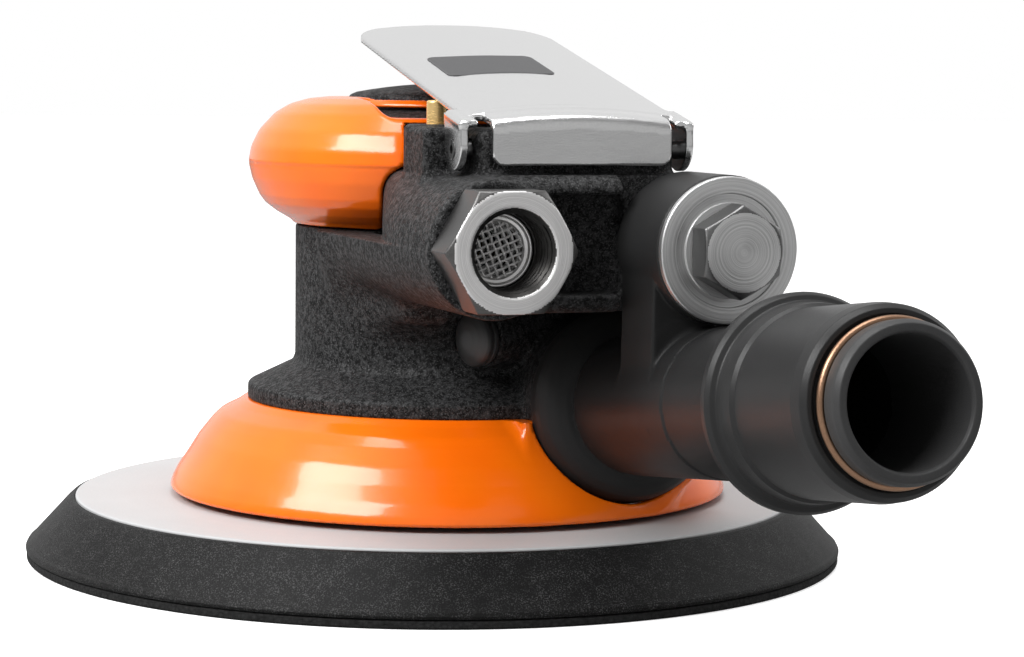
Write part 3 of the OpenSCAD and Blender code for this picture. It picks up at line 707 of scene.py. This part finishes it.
def f_housing_outer(P):
    upper, block, lower, d = f_housing_upper(P)
    block = smin(block, s_cyl(P, 1, (-PX, PZ), -77, -14, 11, 0.9), 0.5)
    block = smin(block, lower, 2.6)
    gusset = s_box(P, (-20.5, -37, 45.5), (-10.8, -18, 54), 2.5)
    block = smin(block, gusset, 4.0)
    reg = local(P, REG_O, REG_D, np.array([0, 0, 1.0]))
    q = np.hypot(reg[:, 0], reg[:, 1])
    bs = s_poly(q, reg[:, 2], rounded([(0, 3.05), (4.9, 3.05, 0.3), (4.6, 6.0, 4), (0.6, 25), (0, 25)], closed=True))
    d = smin(smin(d, block, 9.0), bs, 5.0)
    # duct boss that carries the dust from the shroud to the bell
    x, u, s = tube_local(P)
    duct = smax(smax(np.hypot(x, u) - 16.5, s + 0.35, 0.5), -17 - s, 1.0)
    d = smin(d, np.maximum(duct, 28.98 - P[:, 2]), 1.6)
    return smin(upper, smax(d, P[:, 2] - 60.7, 0.4), 0.4)


def f_housing(P):
    d = f_housing_outer(P)
    # keep the neck clear above the block's top, where the grip seats
    cut = s_box(P, (5.8, -80, 45), (24, -66.8, 80), 0.3)
    d = smax(d, -cut, 0.6)
    d = smax(d, -s_box(P, (-7.4, -80, 53.2), (7.4, -63, 69.2), 1.6), 1.2)
    d = smax(d, -s_box(P, (-17, -90, 74), (17, -65.6, 90), 0.2), 0.8)
    for c in (s_cyl(P, 2, (0, 0), 20, 72, 24), s_cyl(P, 2, (0, 0), 20, 32.9, 30), s_cyl(P, 2, (0, 0), 71, 81, 13),
              s_cyl(P, 1, (-PX, PZ), -79, -61, 8.02), s_cyl(P, 1, (-PX, PZ), -61.2, -54, 5.5),
              s_cyl(P, 1, (-PX, PZ), -54.2, -20, 3.6), s_cyl(P, 2, STEM, 56, 90, 3.2),
              s_cyl(P, 1, (PX, PZ), -69, -48, 4.03), s_cyl(P, 0, PIVOT, -40, 40, 1.52),
              np.maximum(s_cyl(P, 1, (PX, PZ), -69, -46, 8), -s_cyl(P, 1, (PX, PZ), -64.5, -40, 5.6)),
              s_box(P, (14, -46.5, 58), (22, -20, 64))):
        d = np.maximum(d, -c)
    reg = local(P, REG_O, REG_D, np.array([0, 0, 1.0]))
    q = np.hypot(reg[:, 0], reg[:, 1])
    d = np.maximum(d, -np.maximum(q - 3.04, np.maximum(2 - reg[:, 2], reg[:, 2] - 11)))
    return smax(d, -np.maximum(q - 5.2, np.maximum(-6 - reg[:, 2], reg[:, 2] - 3)), 0.6)


# ---------------------------------------------------------------- grip
GRIP = rounded([(26.7, 60.95, 0.4), (28.5, 60.75, 1.0), (29.4, 61.8, 1.5), (32, 63.3, 3), (34, 64.8, 3), (35.1, 66.3, 3),
                (36.4, 69.2, 5), (37.1, 72.2, 4), (36.6, 75.1, 5), (35.1, 78.1, 5), (32.3, 81.1, 5), (29.5, 82.8, 6),
                (26, 83.8, 8), (22, 84.2, 6), (19.45, 84.0, 0.5), (19.3, 82.4), (26.7, 80.65)], closed=True, seg=5)


def f_grip(P):
    d = s_rev(P, GRIP)
    seam = np.abs(np.hypot(P[:, 0], P[:, 1]) - 37.1)
    d = d + 0.10 * np.exp(-((P[:, 2] - 72.2) / 0.16) ** 2) * (seam < 3)
    d = smax(d, -(f_housing_upper(P)[0] - 0.16), 0.9)
    # seat round the block and the boss, with a soft scooped end beside the boss
    blk = s_box(P, (-17.5, -66, 55), (23.6, -30, 92), 1.5)
    d = smax(d, -blk, 3.2)
    d = smax(d, -s_box(P, (-18, -66, 50), (18, -20, 79.75), 1.0), 0.5)
    chan = s_box(P, (-20.2, -66, 80.75), (20.2, -9, 95), 1.6)
    q = np.hypot(P[:, 0], P[:, 1])
    cone = (q - (23.4 - (P[:, 2] - 80.7) * 0.95)) * 0.72
    chan = smax(chan, -cone, 1.6)
    return smax(d, -chan, 1.4)


# ---------------------------------------------------------------- shroud
SKIRT = rounded([(0, 29), (37.7, 29, 0.8), (39.3, 27.9, 1.6), (42.3, 26.4, 4), (43.8, 24.9, 4), (46.2, 21.9, 8), (48, 19, 10),
                 (50, 16, 10), (50.9, 14.2, 4), (51.5, 12.25, 0.8), (0, 12.25)], closed=True)
HOLLOW = [(0, 27), (37, 27), (38.4, 26), (41, 24.6), (43.1, 21.9), (45.1, 18.8), (47.2, 15.6), (48.6, 12.9), (48.8, 12.1),
          (49, 8), (0, 8)]


def tube_local(P):
    q = P - TUBE_O
    return q[:, 0], q @ TUBE_U, q @ TUBE_D


def f_shroud(P):
    q = np.hypot(P[:, 0], P[:, 1])
    x, u, s = tube_local(P)
    qt = np.hypot(x, u)
    d = s_poly(q, P[:, 2], SKIRT)
    collar = np.maximum(smax(qt - 18.6, s - 1.0, 0.8), -6 - s)
    collar = smax(np.maximum(collar, P[:, 2] - 29), 12.25 - P[:, 2], 0.4)
    collar = smax(collar, P[:, 1] + 20, 0.5)
    d = smin(d, collar, 3.0)
    d = smax(d, 12.25 - P[:, 2], 0.9)
    d = np.maximum(d, P[:, 2] - 29)
    d = np.minimum(d, s_poly(q, P[:, 2], [(27.6, 26.6), (29.95, 26.6), (29.95, 32.6), (27.6, 32.6)]))
    d = np.maximum(d, -s_poly(q, P[:, 2], HOLLOW))
    d = np.maximum(d, -s_cyl(P, 2, (0, 0), 26, 36, 27.6))
    d = smax(d, -np.maximum(np.maximum(qt - 17.2, -0.3 - s), s - 20), 0.4)
    return d


# ---------------------------------------------------------------- suction tube
TUBE = rounded([(0, 0), (17, 0, 0.5), (17, 2.6, 1.4), (16.7, 3.8, 2), (15.9, 5.2, 3), (14.6, 6.4, 3), (13, 7.2, 3),
                (11.75, 7.5, 0.6), (11.75, 8.05, 0.3), (12.2, 8.3, 0.3), (12.2, 46, 0.3), (11.95, 46.4, 0.3), (11.9, 70, 0.3), (11.5, 70.3, 0.2),
                (11.5, 100.5, 0.2), (10.9, 100.7), (10.9, 102.2), (11.6, 102.4, 0.2), (11.6, 105.4, 0.6), (10.8, 106, 0.4), (0, 106)], closed=True)


def f_tube(P):
    x, u, s = tube_local(P)
    qt = np.hypot(x, u)
    d = s_poly(qt, s, TUBE)
    lug = s_cyl(P, 1, (PX, PZ), -84, -67.1, 11.9, 0.35)
    web = s_box(P, (7, -80.6, 38), (29.4, -67.1, PZ), 0.45)
    low = smax(s_box(P, (7, -80.6, 32), (29.4, -67.1, 50), 0.45), qt - 16, 1.0)
    web = smin(web, low, 0.2)
    d = smin(d, smin(lug, web, 0.25), 1.0)
    d = np.maximum(d, -np.maximum(qt - 9.6, 4 - s))
    mouth = np.maximum(np.maximum(np.abs(x) - 8.6, np.abs(u - 5.8) - 4.2), np.maximum(-1 - s, s - 5))
    d = np.maximum(d, -mouth)
    d = np.maximum(d, -s_cyl(P, 1, (PX, PZ), -80.5, -60, 8))
    d = np.maximum(d, -s_cyl(P, 1, (PX, PZ), -86, -60, 4.2))
    d = np.maximum(d, -s_cyl(P, 2, (PX, -73.6), 38, 61, 5))
    return np.maximum(d, s - 82)


# ---------------------------------------------------------------- lever
CZ = -math.sqrt(LEV_R ** 2 - LEV_HW ** 2)
C, S = math.cos(LEV_A), math.sin(LEV_A)
FLANGE = rounded([(-66.85, 70.0), (-66.85, 80.05, 1.9), (-62.0, 80.98), (-60.0, 81.47)], seg=8)


def s_rrect(x, y, x0, y0, x1, y1, r):
    qx = np.abs(x - (x0 + x1) / 2) - ((x1 - x0) / 2 - r)
    qy = np.abs(y - (y0 + y1) / 2) - ((y1 - y0) / 2 - r)
    return np.minimum(np.maximum(qx, qy), 0) + np.hypot(np.maximum(qx, 0), np.maximum(qy, 0)) - r


def join2(a, b, rd):
    a, b = a + rd, b + rd
    return np.minimum(np.maximum(a, b), 0) + np.hypot(np.maximum(a, 0), np.maximum(b, 0)) - rd


def crown(x):
    xc = np.minimum(np.abs(x), LEV_HW)
    return np.sqrt(LEV_R ** 2 - xc ** 2) + CZ


def f_lever(P):
    x = P[:, 0]
    dy, dz = P[:, 1] + 62, P[:, 2] - 80.35
    v, w = dy * C + dz * S, -dy * S + dz * C
    c = crown(x)
    plan = s_rrect(x, v, -LEV_HW, 0, LEV_HW, LEV_L, 5.0)
    rear = s_rrect(x, v, -LEV_HW, 0, LEV_HW, 30, 0.8)
    plan = np.minimum(plan, rear)
    plate = join2(plan, np.abs(w - c - SHEET / 2) - SHEET / 2, 0.28)
    # rear flange and its bend, following the crown
    hgt = np.clip((P[:, 2] - 73) / 8, 0, 1)
    ld, _ = line_dist(P[:, 1], P[:, 2] - c * hgt, FLANGE)
    fl = s_rrect(x, P[:, 2] - c * hgt, -15.4, 73.65, 15.4, 99, 2.0)
    fl = join2(fl, ld - SHEET / 2, 0.28)
    fl = np.maximum(fl, P[:, 1] + 60.6)
    d = smin(plate, fl, 0.5)
    # ears
    ax = np.abs(x)
    out = np.minimum(np.hypot(P[:, 1] + 61.2, P[:, 2] - 76.9) - 4.2,
                     s_poly(P[:, 1], P[:, 2], [(-65.4, 76.9), (-57.0, 76.9), (-56.4, 82.1), (-65.2, 80.4)]))
    ear = join2(out, np.abs(ax - 19.5) - SHEET / 2, 0.28)
    bend = s_box(np.stack([ax, v, w], 1), (17.0, -3.0, 0.0), (20.15, 4.9, 1.25), 0.6)
    d = smin(d, smin(ear, bend, 0.8), 0.5)
    hole = np.hypot(P[:, 1] - PIVOT[0], P[:, 2] - PIVOT[1]) - 1.55
    return np.maximum(d, -hole)


# ---------------------------------------------------------------- small turned parts
def s_hex(a, b, af):
    """Hexagon with flats at b = +-af/2."""
    k = np.maximum(np.abs(b), np.maximum(np.abs(a * 0.8660254 + b * 0.5), np.abs(a * 0.8660254 - b * 0.5)))
    return k - af / 2


def f_bushing(P):
    x, z = P[:, 0] + PX, P[:, 2] - PZ
    y = P[:, 1]
    q = np.hypot(x, z)
    hexa = join2(s_hex(x, z, 19), np.abs(y + 81.1) - 4.1, 0.25)
    cone = (q - 9.55 - (y + 85.2) * 1.35) * 0.6
    cone2 = (q - 10.9 - (-77.2 - y) * 1.6) * 0.53
    hexa = smax(smax(hexa, cone, 0.3), cone2, 0.3)
    d = np.minimum(hexa, join2(q - 8, np.abs(y + 70) - 8, 0.2))
    ang = np.arctan2(z, x) / (2 * np.pi)
    t = (y / 1.337 + ang) % 1.0
    groove = np.abs(t - 0.5) * 2 * 0.62
    fade = np.clip((-77.9 - y) / 1.2, 0, 1)
    d = np.maximum(d, -np.maximum(q - (5.92 + groove * fade), y + 77.5))
    d = np.maximum(d, -np.maximum(q - 5.98, y + 75.5))
    mouth = (q - 7.15 - (-85.2 - y) * -0.0 + (y + 85.2) * 1.0) * 0.72
    d = smax(d, -np.maximum(mouth, y + 83.9), 0.15)
    return np.maximum(d, -(q - 5.5))


def f_bolt(P):
    x, z = P[:, 0] - PX, P[:, 2] - PZ
    y = P[:, 1]
    q = np.hypot(x, z)
    hexa = join2(s_hex(z, x, 13), np.abs(y + 88.05) - 2.75, 0.12)
    cone = (q - 6.15 - (y + 90.8) * 1.75) * 0.5
    hexa = smax(hexa, cone, 0.35)
    dimple = q * 0.05
    hexa = np.maximum(hexa, -(y + 90.8 - np.maximum(0, 0.16 - dimple)))
    return np.minimum(hexa, join2(q - 4, np.abs(y + 68.8) - 16.8, 0.3))


# ---------------------------------------------------------------- make the pieces
solid("housing_look", f_housing, (-38, -78, 28.6), (38, 38, 87.2), 0.5)
finish_piece(bpy.data.objects["housing_look"], "tool", "housing", ["housing"])
solid("grip_look", f_grip, (-38, -36, 60), (38, 38, 85), 0.5)
finish_piece(bpy.data.objects["grip_look"], "tool", "grip", ["grip"])
solid("shroud_look", f_shroud, (-52, -56, 11.8), (52, 52, 33), 0.55)
finish_piece(bpy.data.objects["shroud_look"], "tool", "shroud", ["shroud"])
solid("suction_tube_look", f_tube, (0, -126, 13), (36, -38, 74), 0.5)
finish_piece(bpy.data.objects["suction_tube_look"], "tool", "tube", ["suction_tube"])
end = lathe("suction_tube_end_look", rounded([(9.6, 82.01), (11.5, 82.01), (11.5, 100.5, 0.15), (10.9, 100.7, 0.1), (10.9, 102.2, 0.1), (11.6, 102.4, 0.2), (11.6, 105.0, 0.9),
                                              (11.0, 106, 0.35), (9.9, 106, 0.35), (9.6, 105.4, 0.3)], closed=True, seg=5), 192, placed(TUBE_O, TUBE_D, TUBE_U))
# painted light: the tube's tip takes the lighter tube_end copy of the tube's black
finish_piece(end, "tool", "tube", None, mat="tube_end")
solid("lever_look", f_lever, (-21, -68, 72), (21, 3, 98), 0.3)
finish_piece(bpy.data.objects["lever_look"], "lever", "lever", ["lever"])
solid("inlet_bushing_look", f_bushing, (-30, -86, 49), (-6, -61, 73), 0.25)
ob = finish_piece(bpy.data.objects["inlet_bushing_look"], "tool", "steel_turned", ["inlet_bushing"], mat="hexagon_side_painted_shade", second="hexagon_bore_painted_shade")
ob.data.materials.append(M["steel_turned"])
# material slots by face position: flats and chamfers take the dark painted-shade steel, the bore the near-black
# painted-shade steel, the end face the bright turned steel
idx = np.zeros(len(ob.data.polygons), np.int32)
cen = np.zeros(len(idx) * 3)
ob.data.polygons.foreach_get("center", cen)
cen = cen.reshape(-1, 3) / MM
rad = np.hypot(cen[:, 0] + PX, cen[:, 2] - PZ)
idx[(rad < 6.9) & (cen[:, 1] > -84.9)] = 1
idx[(rad < 9.62) & (cen[:, 1] < -84.98)] = 2
ob.data.polygons.foreach_set("material_index", idx)
solid("lug_bolt_look", f_bolt, (9, -91.2, 52), (27, -51.5, 70), 0.25)
ob = finish_piece(bpy.data.objects["lug_bolt_look"], "tool", "fastener_steel", ["lug_bolt"], mat="bolt_side_painted_shade", second="bolt_steel")
# material slots by face position: the bolt's end face takes the bright turned steel, the rest the darker
# painted-shade copy
idx = np.zeros(len(ob.data.polygons), np.int32)
cen = np.zeros(len(idx) * 3)
ob.data.polygons.foreach_get("center", cen)
cen = cen.reshape(-1, 3) / MM
idx[(np.hypot(cen[:, 0] - PX, cen[:, 2] - PZ) < 6.2) & (cen[:, 1] < -90.45)] = 1
ob.data.polygons.foreach_set("material_index", idx)

YREAR = lambda x, y, z: placed((x, y, z), np.array([0.0, -1, 0]), np.array([0.0, 0, 1]))
washer = lathe("lug_washer_look", rounded([(4.3, 0), (11.7, 0, 0.15), (11.7, 1.3, 0.3), (9.0, 1.3, 0.15), (9.0, 0.95, 0.1), (7.6, 0.95, 0.1), (7.6, 1.22, 0.15), (4.3, 1.22)],
                                          closed=True, seg=4), 160, YREAR(PX, -84, PZ))
finish_piece(washer, "tool", "washer", ["lug_washer"])

# strainer: woven wire in a rolled rim
YS = -76.2
wires = []
WC, WS = math.cos(math.radians(22)), math.sin(math.radians(22))
for axis in (0, 1):
    for i in range(-4, 5):
        o = i * 1.08
        half = math.sqrt(4.95 ** 2 - o * o)
        n = 44
        pts = []
        for k in range(n + 1):
            t = -half + 2 * half * k / n
            wv = 0.15 * math.cos(math.pi * (t / 1.08)) * (1 if (i + axis) % 2 else -1)
            a, b = (t, o) if axis else (o, t)
            pts.append((-PX + a * WC - b * WS, YS + wv, PZ + a * WS + b * WC))
        wires.append(sweep("wire_%d_%d" % (axis, i + 4), pts, 0.2, 7))
rim = lathe("wire_rim", rounded([(4.75, -0.3, 0.1), (5.1, -0.3, 0.1), (5.1, 0.3, 0.1), (4.75, 0.3, 0.1)], closed=True, seg=3), 96, YREAR(-PX, YS, PZ))
bm = bmesh.new()
for w in wires + [rim]:
    bm.from_mesh(w.data)
for w in wires + [rim]:
    bpy.data.objects.remove(w)
me = bpy.data.meshes.new("inlet_screen_look")
bm.to_mesh(me); bm.free()
screen = bpy.data.objects.new("inlet_screen_look", me)
bpy.context.scene.collection.objects.link(screen)
sharp(screen, 50)
finish_piece(screen, "tool", "screen", ["inlet_screen"])
ring = lathe("screen_ring_look", rounded([(4.4, -0.6), (5.85, -0.6, 0.1), (5.93, 1.25, 0.35), (5.45, 1.25, 0.3), (5.2, 0.75, 0.2), (4.75, 0.62, 0.2), (4.4, 0.3, 0.15)],
                                         closed=True, seg=5), 128, YREAR(-PX, -76.1, PZ))
finish_piece(ring, "tool", "screen_ring", ["screen_ring"])

# throttle stem
stem = lathe("valve_stem_look", rounded([(0, 58.6), (2.5, 58.6, 0.2), (2.5, 66.35), (1.95, 66.45), (1.95, 67.55), (2.5, 67.65), (2.5, 69.5, 0.2), (1.65, 69.6), (1.65, 83.9, 0.4), (0, 83.98)],
                                        seg=5), 72, Matrix.Translation((STEM[0] * MM, STEM[1] * MM, 0)), closed=False)
finish_piece(stem, "throttle_stem", "brass", ["valve_stem"])

# speed regulator
knob = lathe("regulator_look", rounded([(0, -0.95), (1.6, -0.86, 3), (3, -0.56, 3), (4.1, -0.1, 2), (4.62, 0.3, 0.5), (4.8, 0.8, 0.3), (4.8, 1.3, 0.15), (4.4, 1.4), (4.4, 1.9),
                                        (4.7, 2.0, 0.1), (4.7, 2.5, 0.1), (4.35, 2.6), (4.35, 2.95), (3, 2.95), (3, 10.4, 0.3), (0, 10.5)], seg=5), 128,
             placed(REG_O, REG_D, np.array([0.0, 0, 1])), closed=False)
finish_piece(knob, "regulator", "regulator", ["regulator"])

# hose adapter and its spring ring
adapter = lathe("hose_adapter_look", rounded([(11.6, 71.45), (16.35, 71.45, 0.35), (16.6, 71.9, 0.3), (16.6, 73.1, 0.4), (16.1, 73.9, 0.6), (15.2, 74.3, 0.5), (15.0, 75.4, 1.5),
                                              (14.75, 78.0, 0.3), (14.2, 78.6, 0.3), (14.2, 97.2, 1.0), (13.95, 99.6, 0.7), (13.2, 100.45, 0.3), (12.5, 100.45, 0.2), (12.0, 99.9, 0.3), (11.6, 99.9)],
                                             closed=True, seg=6), 192, placed(TUBE_O, TUBE_D, TUBE_U))
finish_piece(adapter, "hose_adapter", "adapter", ["hose_adapter"])
fr = placed(TUBE_O, TUBE_D, TUBE_U)
pts = []
gap = math.radians(15)
for k in range(121):
    a = gap + math.radians(12) + (2 * math.pi - math.radians(24)) * k / 120
    pts.append(tuple((fr @ Vector((11.6 * math.cos(a) * MM, 11.6 * math.sin(a) * MM, 101.5 * MM))) / MM))
cring = sweep("adapter_ring_look", pts, lambda t: 0.66 if 0.01 < t < 0.99 else 0.5, 14)
finish_piece(cring, "tool", "copper_ring", ["adapter_ring"])

# blank label, a thin film on the crowned plate
bm = bmesh.new()
nx, ny = 40, 30
top = []
for j in range(ny + 1):
    row = []
    for i in range(nx + 1):
        x, v = -9.6 + 19.2 * i / nx, 25 + 14 * j / ny
        r = 1.4
        ix, iv = max(abs(x) - (9.6 - r), 0), max(abs(v - 32) - (7 - r), 0)
        ln = math.hypot(ix, iv)
        if ln > r:
            x = math.copysign(9.6 - r + ix * r / ln, x)
            v = 32 + math.copysign(7 - r + iv * r / ln, v - 32)
        x -= 3.4
        w = math.sqrt(LEV_R ** 2 - x * x) + CZ + SHEET
        row.append((x, v, w))
    top.append(row)
lay = []
for h in (0.11, -0.02):
    lay.append([[bm.verts.new((x * MM, (-62 + v * C - (w + h) * S) * MM, (80.35 + v * S + (w + h) * C) * MM)) for x, v, w in row] for row in top])
for s in (0, 1):
    for j in range(ny):
        for i in range(nx):
            q = [lay[s][j][i], lay[s][j][i + 1], lay[s][j + 1][i + 1], lay[s][j + 1][i]]
            bm.faces.new(q if s == 0 else q[::-1])
edge = [(0, i) for i in range(nx)] + [(j, nx) for j in range(ny)] + [(ny, i) for i in range(nx, 0, -1)] + [(j, 0) for j in range(ny, 0, -1)]
for (j0, i0), (j1, i1) in zip(edge, edge[1:] + edge[:1]):
    bm.faces.new((lay[0][j0][i0], lay[1][j0][i0], lay[1][j1][i1], lay[0][j1][i1]))
bmesh.ops.recalc_face_normals(bm, faces=bm.faces)
me = bpy.data.meshes.new("lever_label_look")
bm.to_mesh(me); bm.free()
label = bpy.data.objects.new("lever_label_look", me)
bpy.context.scene.collection.objects.link(label)
sharp(label, 40)
finish_piece(label, "lever", "label", ["lever_label"])


# ---------------------------------------------------------------- pad
def with_holes(name, path, seg):
    """A lathe about the pad axis with the six dust holes cut through it."""
    ob = lathe(name, path, seg, Matrix.Translation((EX * MM, EY * MM, 0)), closed=False)
    cut = []
    for i in range(6):
        a = math.radians(30 + 60 * i)
        c = lathe("cut_%d" % i, [(0, -5), (5, -5), (5, 20), (0, 20)], 96,
                  Matrix.Translation(((EX + 40 * math.cos(a)) * MM, (EY + 40 * math.sin(a)) * MM, 0)), closed=False)
        cut.append(c)
    bm = bmesh.new()
    for c in cut:
        bm.from_mesh(c.data)
    me = bpy.data.meshes.new("cutters")
    bm.to_mesh(me); bm.free()
    for c in cut:
        bpy.data.objects.remove(c)
    cutter = bpy.data.objects.new("cutters", me)
    bpy.context.scene.collection.objects.link(cutter)
    md = ob.modifiers.new("holes", "BOOLEAN")
    md.operation = "DIFFERENCE"
    md.solver = "EXACT"
    md.object = cutter
    dg = bpy.context.evaluated_depsgraph_get()
    new = bpy.data.meshes.new_from_object(ob.evaluated_get(dg))
    ob.modifiers.clear()
    ob.data = new
    bpy.data.objects.remove(cutter)
    sharp(ob, 32)
    return ob


PADSEG = 256
foam = with_holes("pad_foam_look", rounded([(0, 1.55), (74.2, 1.55, 0.2), (74.9, 1.7, 0.3), (74.98, 2.2, 0.3), (74.7, 2.75, 0.25), (74.2, 3.15, 0.5), (67.9, 10.0, 2.2), (66.9, 10.95, 0.7), (66.15, 11.15, 0.2),
                                            (66.02, 10.28), (16, 10.28), (16, 4), (0, 4)], seg=6), PADSEG)
finish_piece(foam, "pad", "pad_foam", ["pad_foam"])
plate = with_holes("pad_plate_look", rounded([(0, 4.02), (15.98, 4.02, 0.3), (15.98, 10.32, 0.3), (65.75, 10.32, 0.2), (66.0, 10.6, 0.3), (66.0, 11.3, 0.25), (65.6, 11.5, 0.5), (17, 11.5), (0, 11.5)], seg=5), PADSEG)
finish_piece(plate, "pad", "pad_plate", ["pad_plate"])
hook = with_holes("hook_face_look", rounded([(0, 0), (74.4, 0, 0.3), (74.8, 0.35, 0.3), (74.8, 1.3, 0.2), (74.5, 1.5, 0.2), (0, 1.5)], seg=4), PADSEG)
finish_piece(hook, "pad", "hook_face", ["hook_face"])

# ---------------------------------------------------------------- CAD nodes that stay
KEEP = {"valve_seat": "seal_rubber", "stem_oring": "seal_rubber", "regulator_oring": "seal_rubber", "housing_oring": "seal_rubber", "lug_seal": "seal_rubber",
        "valve_tip": "brass", "stem_bushing": "brass", "valve_spring": "screen", "lever_pin": "spring_steel", "cylinder": "motor_steel",
        "rear_end_plate": "motor_steel", "front_end_plate": "motor_steel", "cylinder_pins": "motor_steel", "lock_ring": "lock_ring",
        "dust_seal": "felt", "rotor": "motor_steel", "vanes": "vane", "rotor_key": "motor_steel", "shaft_ring": "spring_steel",
        "shaft_balancer": "motor_steel", "spindle_circlip": "spring_steel", "spindle": "motor_steel", "spindle_washer": "motor_steel",
        "spindle_screw": "fastener_steel", "pad_stud": "fastener_steel"}
for b in ("rear_bearing", "front_bearing", "spindle_bearing"):
    for k in ("outer", "inner", "balls"):
        KEEP[b + "_" + k] = "bearing_steel"
for name, key in KEEP.items():
    ob = bpy.data.objects[name]
    if not ob.material_slots:
        ob.data.materials.append(M[key])
    for s in ob.material_slots:
        s.material = M[key]

# ---------------------------------------------------------------- stage
def stage_plane(name, size, z, mat):
    me = bpy.data.meshes.new(name)
    s = size / 2
    me.from_pydata([(-s, -s, z), (s, -s, z), (s, s, z), (-s, s, z)], [], [(0, 1, 2, 3)])
    ob = bpy.data.objects.new(name, me)
    bpy.context.scene.collection.objects.link(ob)
    me.materials.append(mat)
    return ob


m = Mat("pale_floor", (0.8, 0.8, 0.8), 0.8, spec=0.2)
f = m.noise(0.004, 2)
em = m.n.new("ShaderNodeEmission")               # lifts the paper to white for the camera only
em.inputs["Strength"].default_value = 0.55
path = m.n.new("ShaderNodeLightPath")
clear = m.n.new("ShaderNodeBsdfTransparent")
pick = m.n.new("ShaderNodeMixShader")
m.l.new(path.outputs["Is Camera Ray"], pick.inputs[0])
m.color(m.mix(path.outputs["Is Camera Ray"], (0.34, 0.34, 0.34), m.mix(f, (0.79, 0.79, 0.79), (0.81, 0.81, 0.81))))
m.l.new(em.outputs[0], pick.inputs[2])
black = m.n.new("ShaderNodeEmission")
black.inputs["Strength"].default_value = 0.0
m.l.new(black.outputs[0], pick.inputs[1])
add = m.n.new("ShaderNodeAddShader")
m.l.new(m.b.outputs[0], add.inputs[0])
m.l.new(pick.outputs[0], add.inputs[1])
m.l.new(add.outputs[0], m.n["Material Output"].inputs["Surface"])
m.n.remove(clear)
stage_plane("floor", 12.0, 0.0, m.m)

world = bpy.data.worlds.new("studio")
bpy.context.scene.world = world
world.use_nodes = True
nt = world.node_tree
bg = nt.nodes["Background"]
tc = nt.nodes.new("ShaderNodeTexCoord")
def lobe(direction, lo, hi, dark, bright):
    """Brightness that rises towards a fixed direction of the studio."""
    d = nt.nodes.new("ShaderNodeVectorMath")
    d.operation = "DOT_PRODUCT"
    nt.links.new(tc.outputs["Generated"], d.inputs[0])
    d.inputs[1].default_value = Vector(direction).normalized()
    r = nt.nodes.new("ShaderNodeMapRange")
    r.interpolation_type = "SMOOTHSTEP"
    r.inputs["From Min"].default_value = lo
    r.inputs["From Max"].default_value = hi
    r.inputs["To Min"].default_value = dark
    r.inputs["To Max"].default_value = bright
    nt.links.new(d.outputs["Value"], r.inputs["Value"])
    return r.outputs[0]


mul = nt.nodes.new("ShaderNodeMath")
mul.operation = "ADD"
nt.links.new(lobe((0.15, 0.75, 0.65), 0.05, 0.8, 0.05, 0.8), mul.inputs[0])
side = nt.nodes.new("ShaderNodeMath")
side.operation = "ADD"
nt.links.new(lobe((-0.9, -0.2, 0.35), 0.5, 0.95, 0.0, 0.25), side.inputs[0])
nt.links.new(lobe((0.05, -0.97, 0.22), 0.45, 0.97, 0.0, 0.42), side.inputs[1])
nt.links.new(side.outputs[0], mul.inputs[1])
lp = nt.nodes.new("ShaderNodeLightPath")
mixv = nt.nodes.new("ShaderNodeMix")
mixv.data_type = "FLOAT"
nt.links.new(lp.outputs["Is Camera Ray"], mixv.inputs[0])
nt.links.new(mul.outputs[0], mixv.inputs[2])
mixv.inputs[3].default_value = 1.0
nt.links.new(mixv.outputs[0], bg.inputs["Strength"])
bg.inputs["Color"].default_value = (1, 1, 1, 1)


def area(name, loc, target, size, power, size_y=None):
    ld = bpy.data.lights.new(name, "AREA")
    ld.energy = power
    ld.shape = "RECTANGLE"
    ld.size = size
    ld.size_y = size_y or size
    ob = bpy.data.objects.new(name, ld)
    ob.location = loc
    d = Vector(target) - Vector(loc)
    ob.rotation_euler = d.to_track_quat("-Z", "Y").to_euler()
    bpy.context.scene.collection.objects.link(ob)
    return ob


area("key", (-0.66, -0.20, 0.62), (0, 0, 0.04), 0.62, 9.0, 0.34)
area("top", (-0.05, -0.06, 0.95), (0, 0, 0.05), 0.7, 5.5, 0.42)
area("side", (0.85, -0.10, 0.50), (0.02, -0.06, 0.05), 0.25, 1.6, 0.5)

# ---------------------------------------------------------------- camera
A = math.radians(-18.46)
YAW, PITCH, ROLL = 0.0232, 0.0901, 0.0112
Fv = Vector((-math.sin(A), math.cos(A), 0))
Rv = Vector((math.cos(A), math.sin(A), 0))
fwd = (Fv * math.cos(YAW) + Rv * math.sin(YAW)) * math.cos(PITCH) - Vector((0, 0, 1)) * math.sin(PITCH)
fwd.normalize()
right = fwd.cross(Vector((0, 0, 1))).normalized()
upv = right.cross(fwd)
cr_, sr_ = math.cos(ROLL), math.sin(ROLL)
right, upv = right * cr_ + upv * sr_, upv * cr_ - right * sr_
cam = bpy.data.cameras.new("camera")
cam.sensor_width = 36.0
cam.lens = 2709.0 / 1024.0 * 36.0
cam.clip_start = 0.01
cam.clip_end = 50
co = bpy.data.objects.new("camera", cam)
mw = Matrix.Identity(4)
for i in range(3):
    mw[i][0], mw[i][1], mw[i][2] = right[i], upv[i], -fwd[i]
mw[0][3], mw[1][3], mw[2][3] = -0.1583, -0.4743, 0.0868
co.matrix_world = mw
bpy.context.scene.collection.objects.link(co)
bpy.context.scene.camera = co
bpy.context.scene.view_settings.view_transform = "Standard"

bpy.context.view_layer.update()
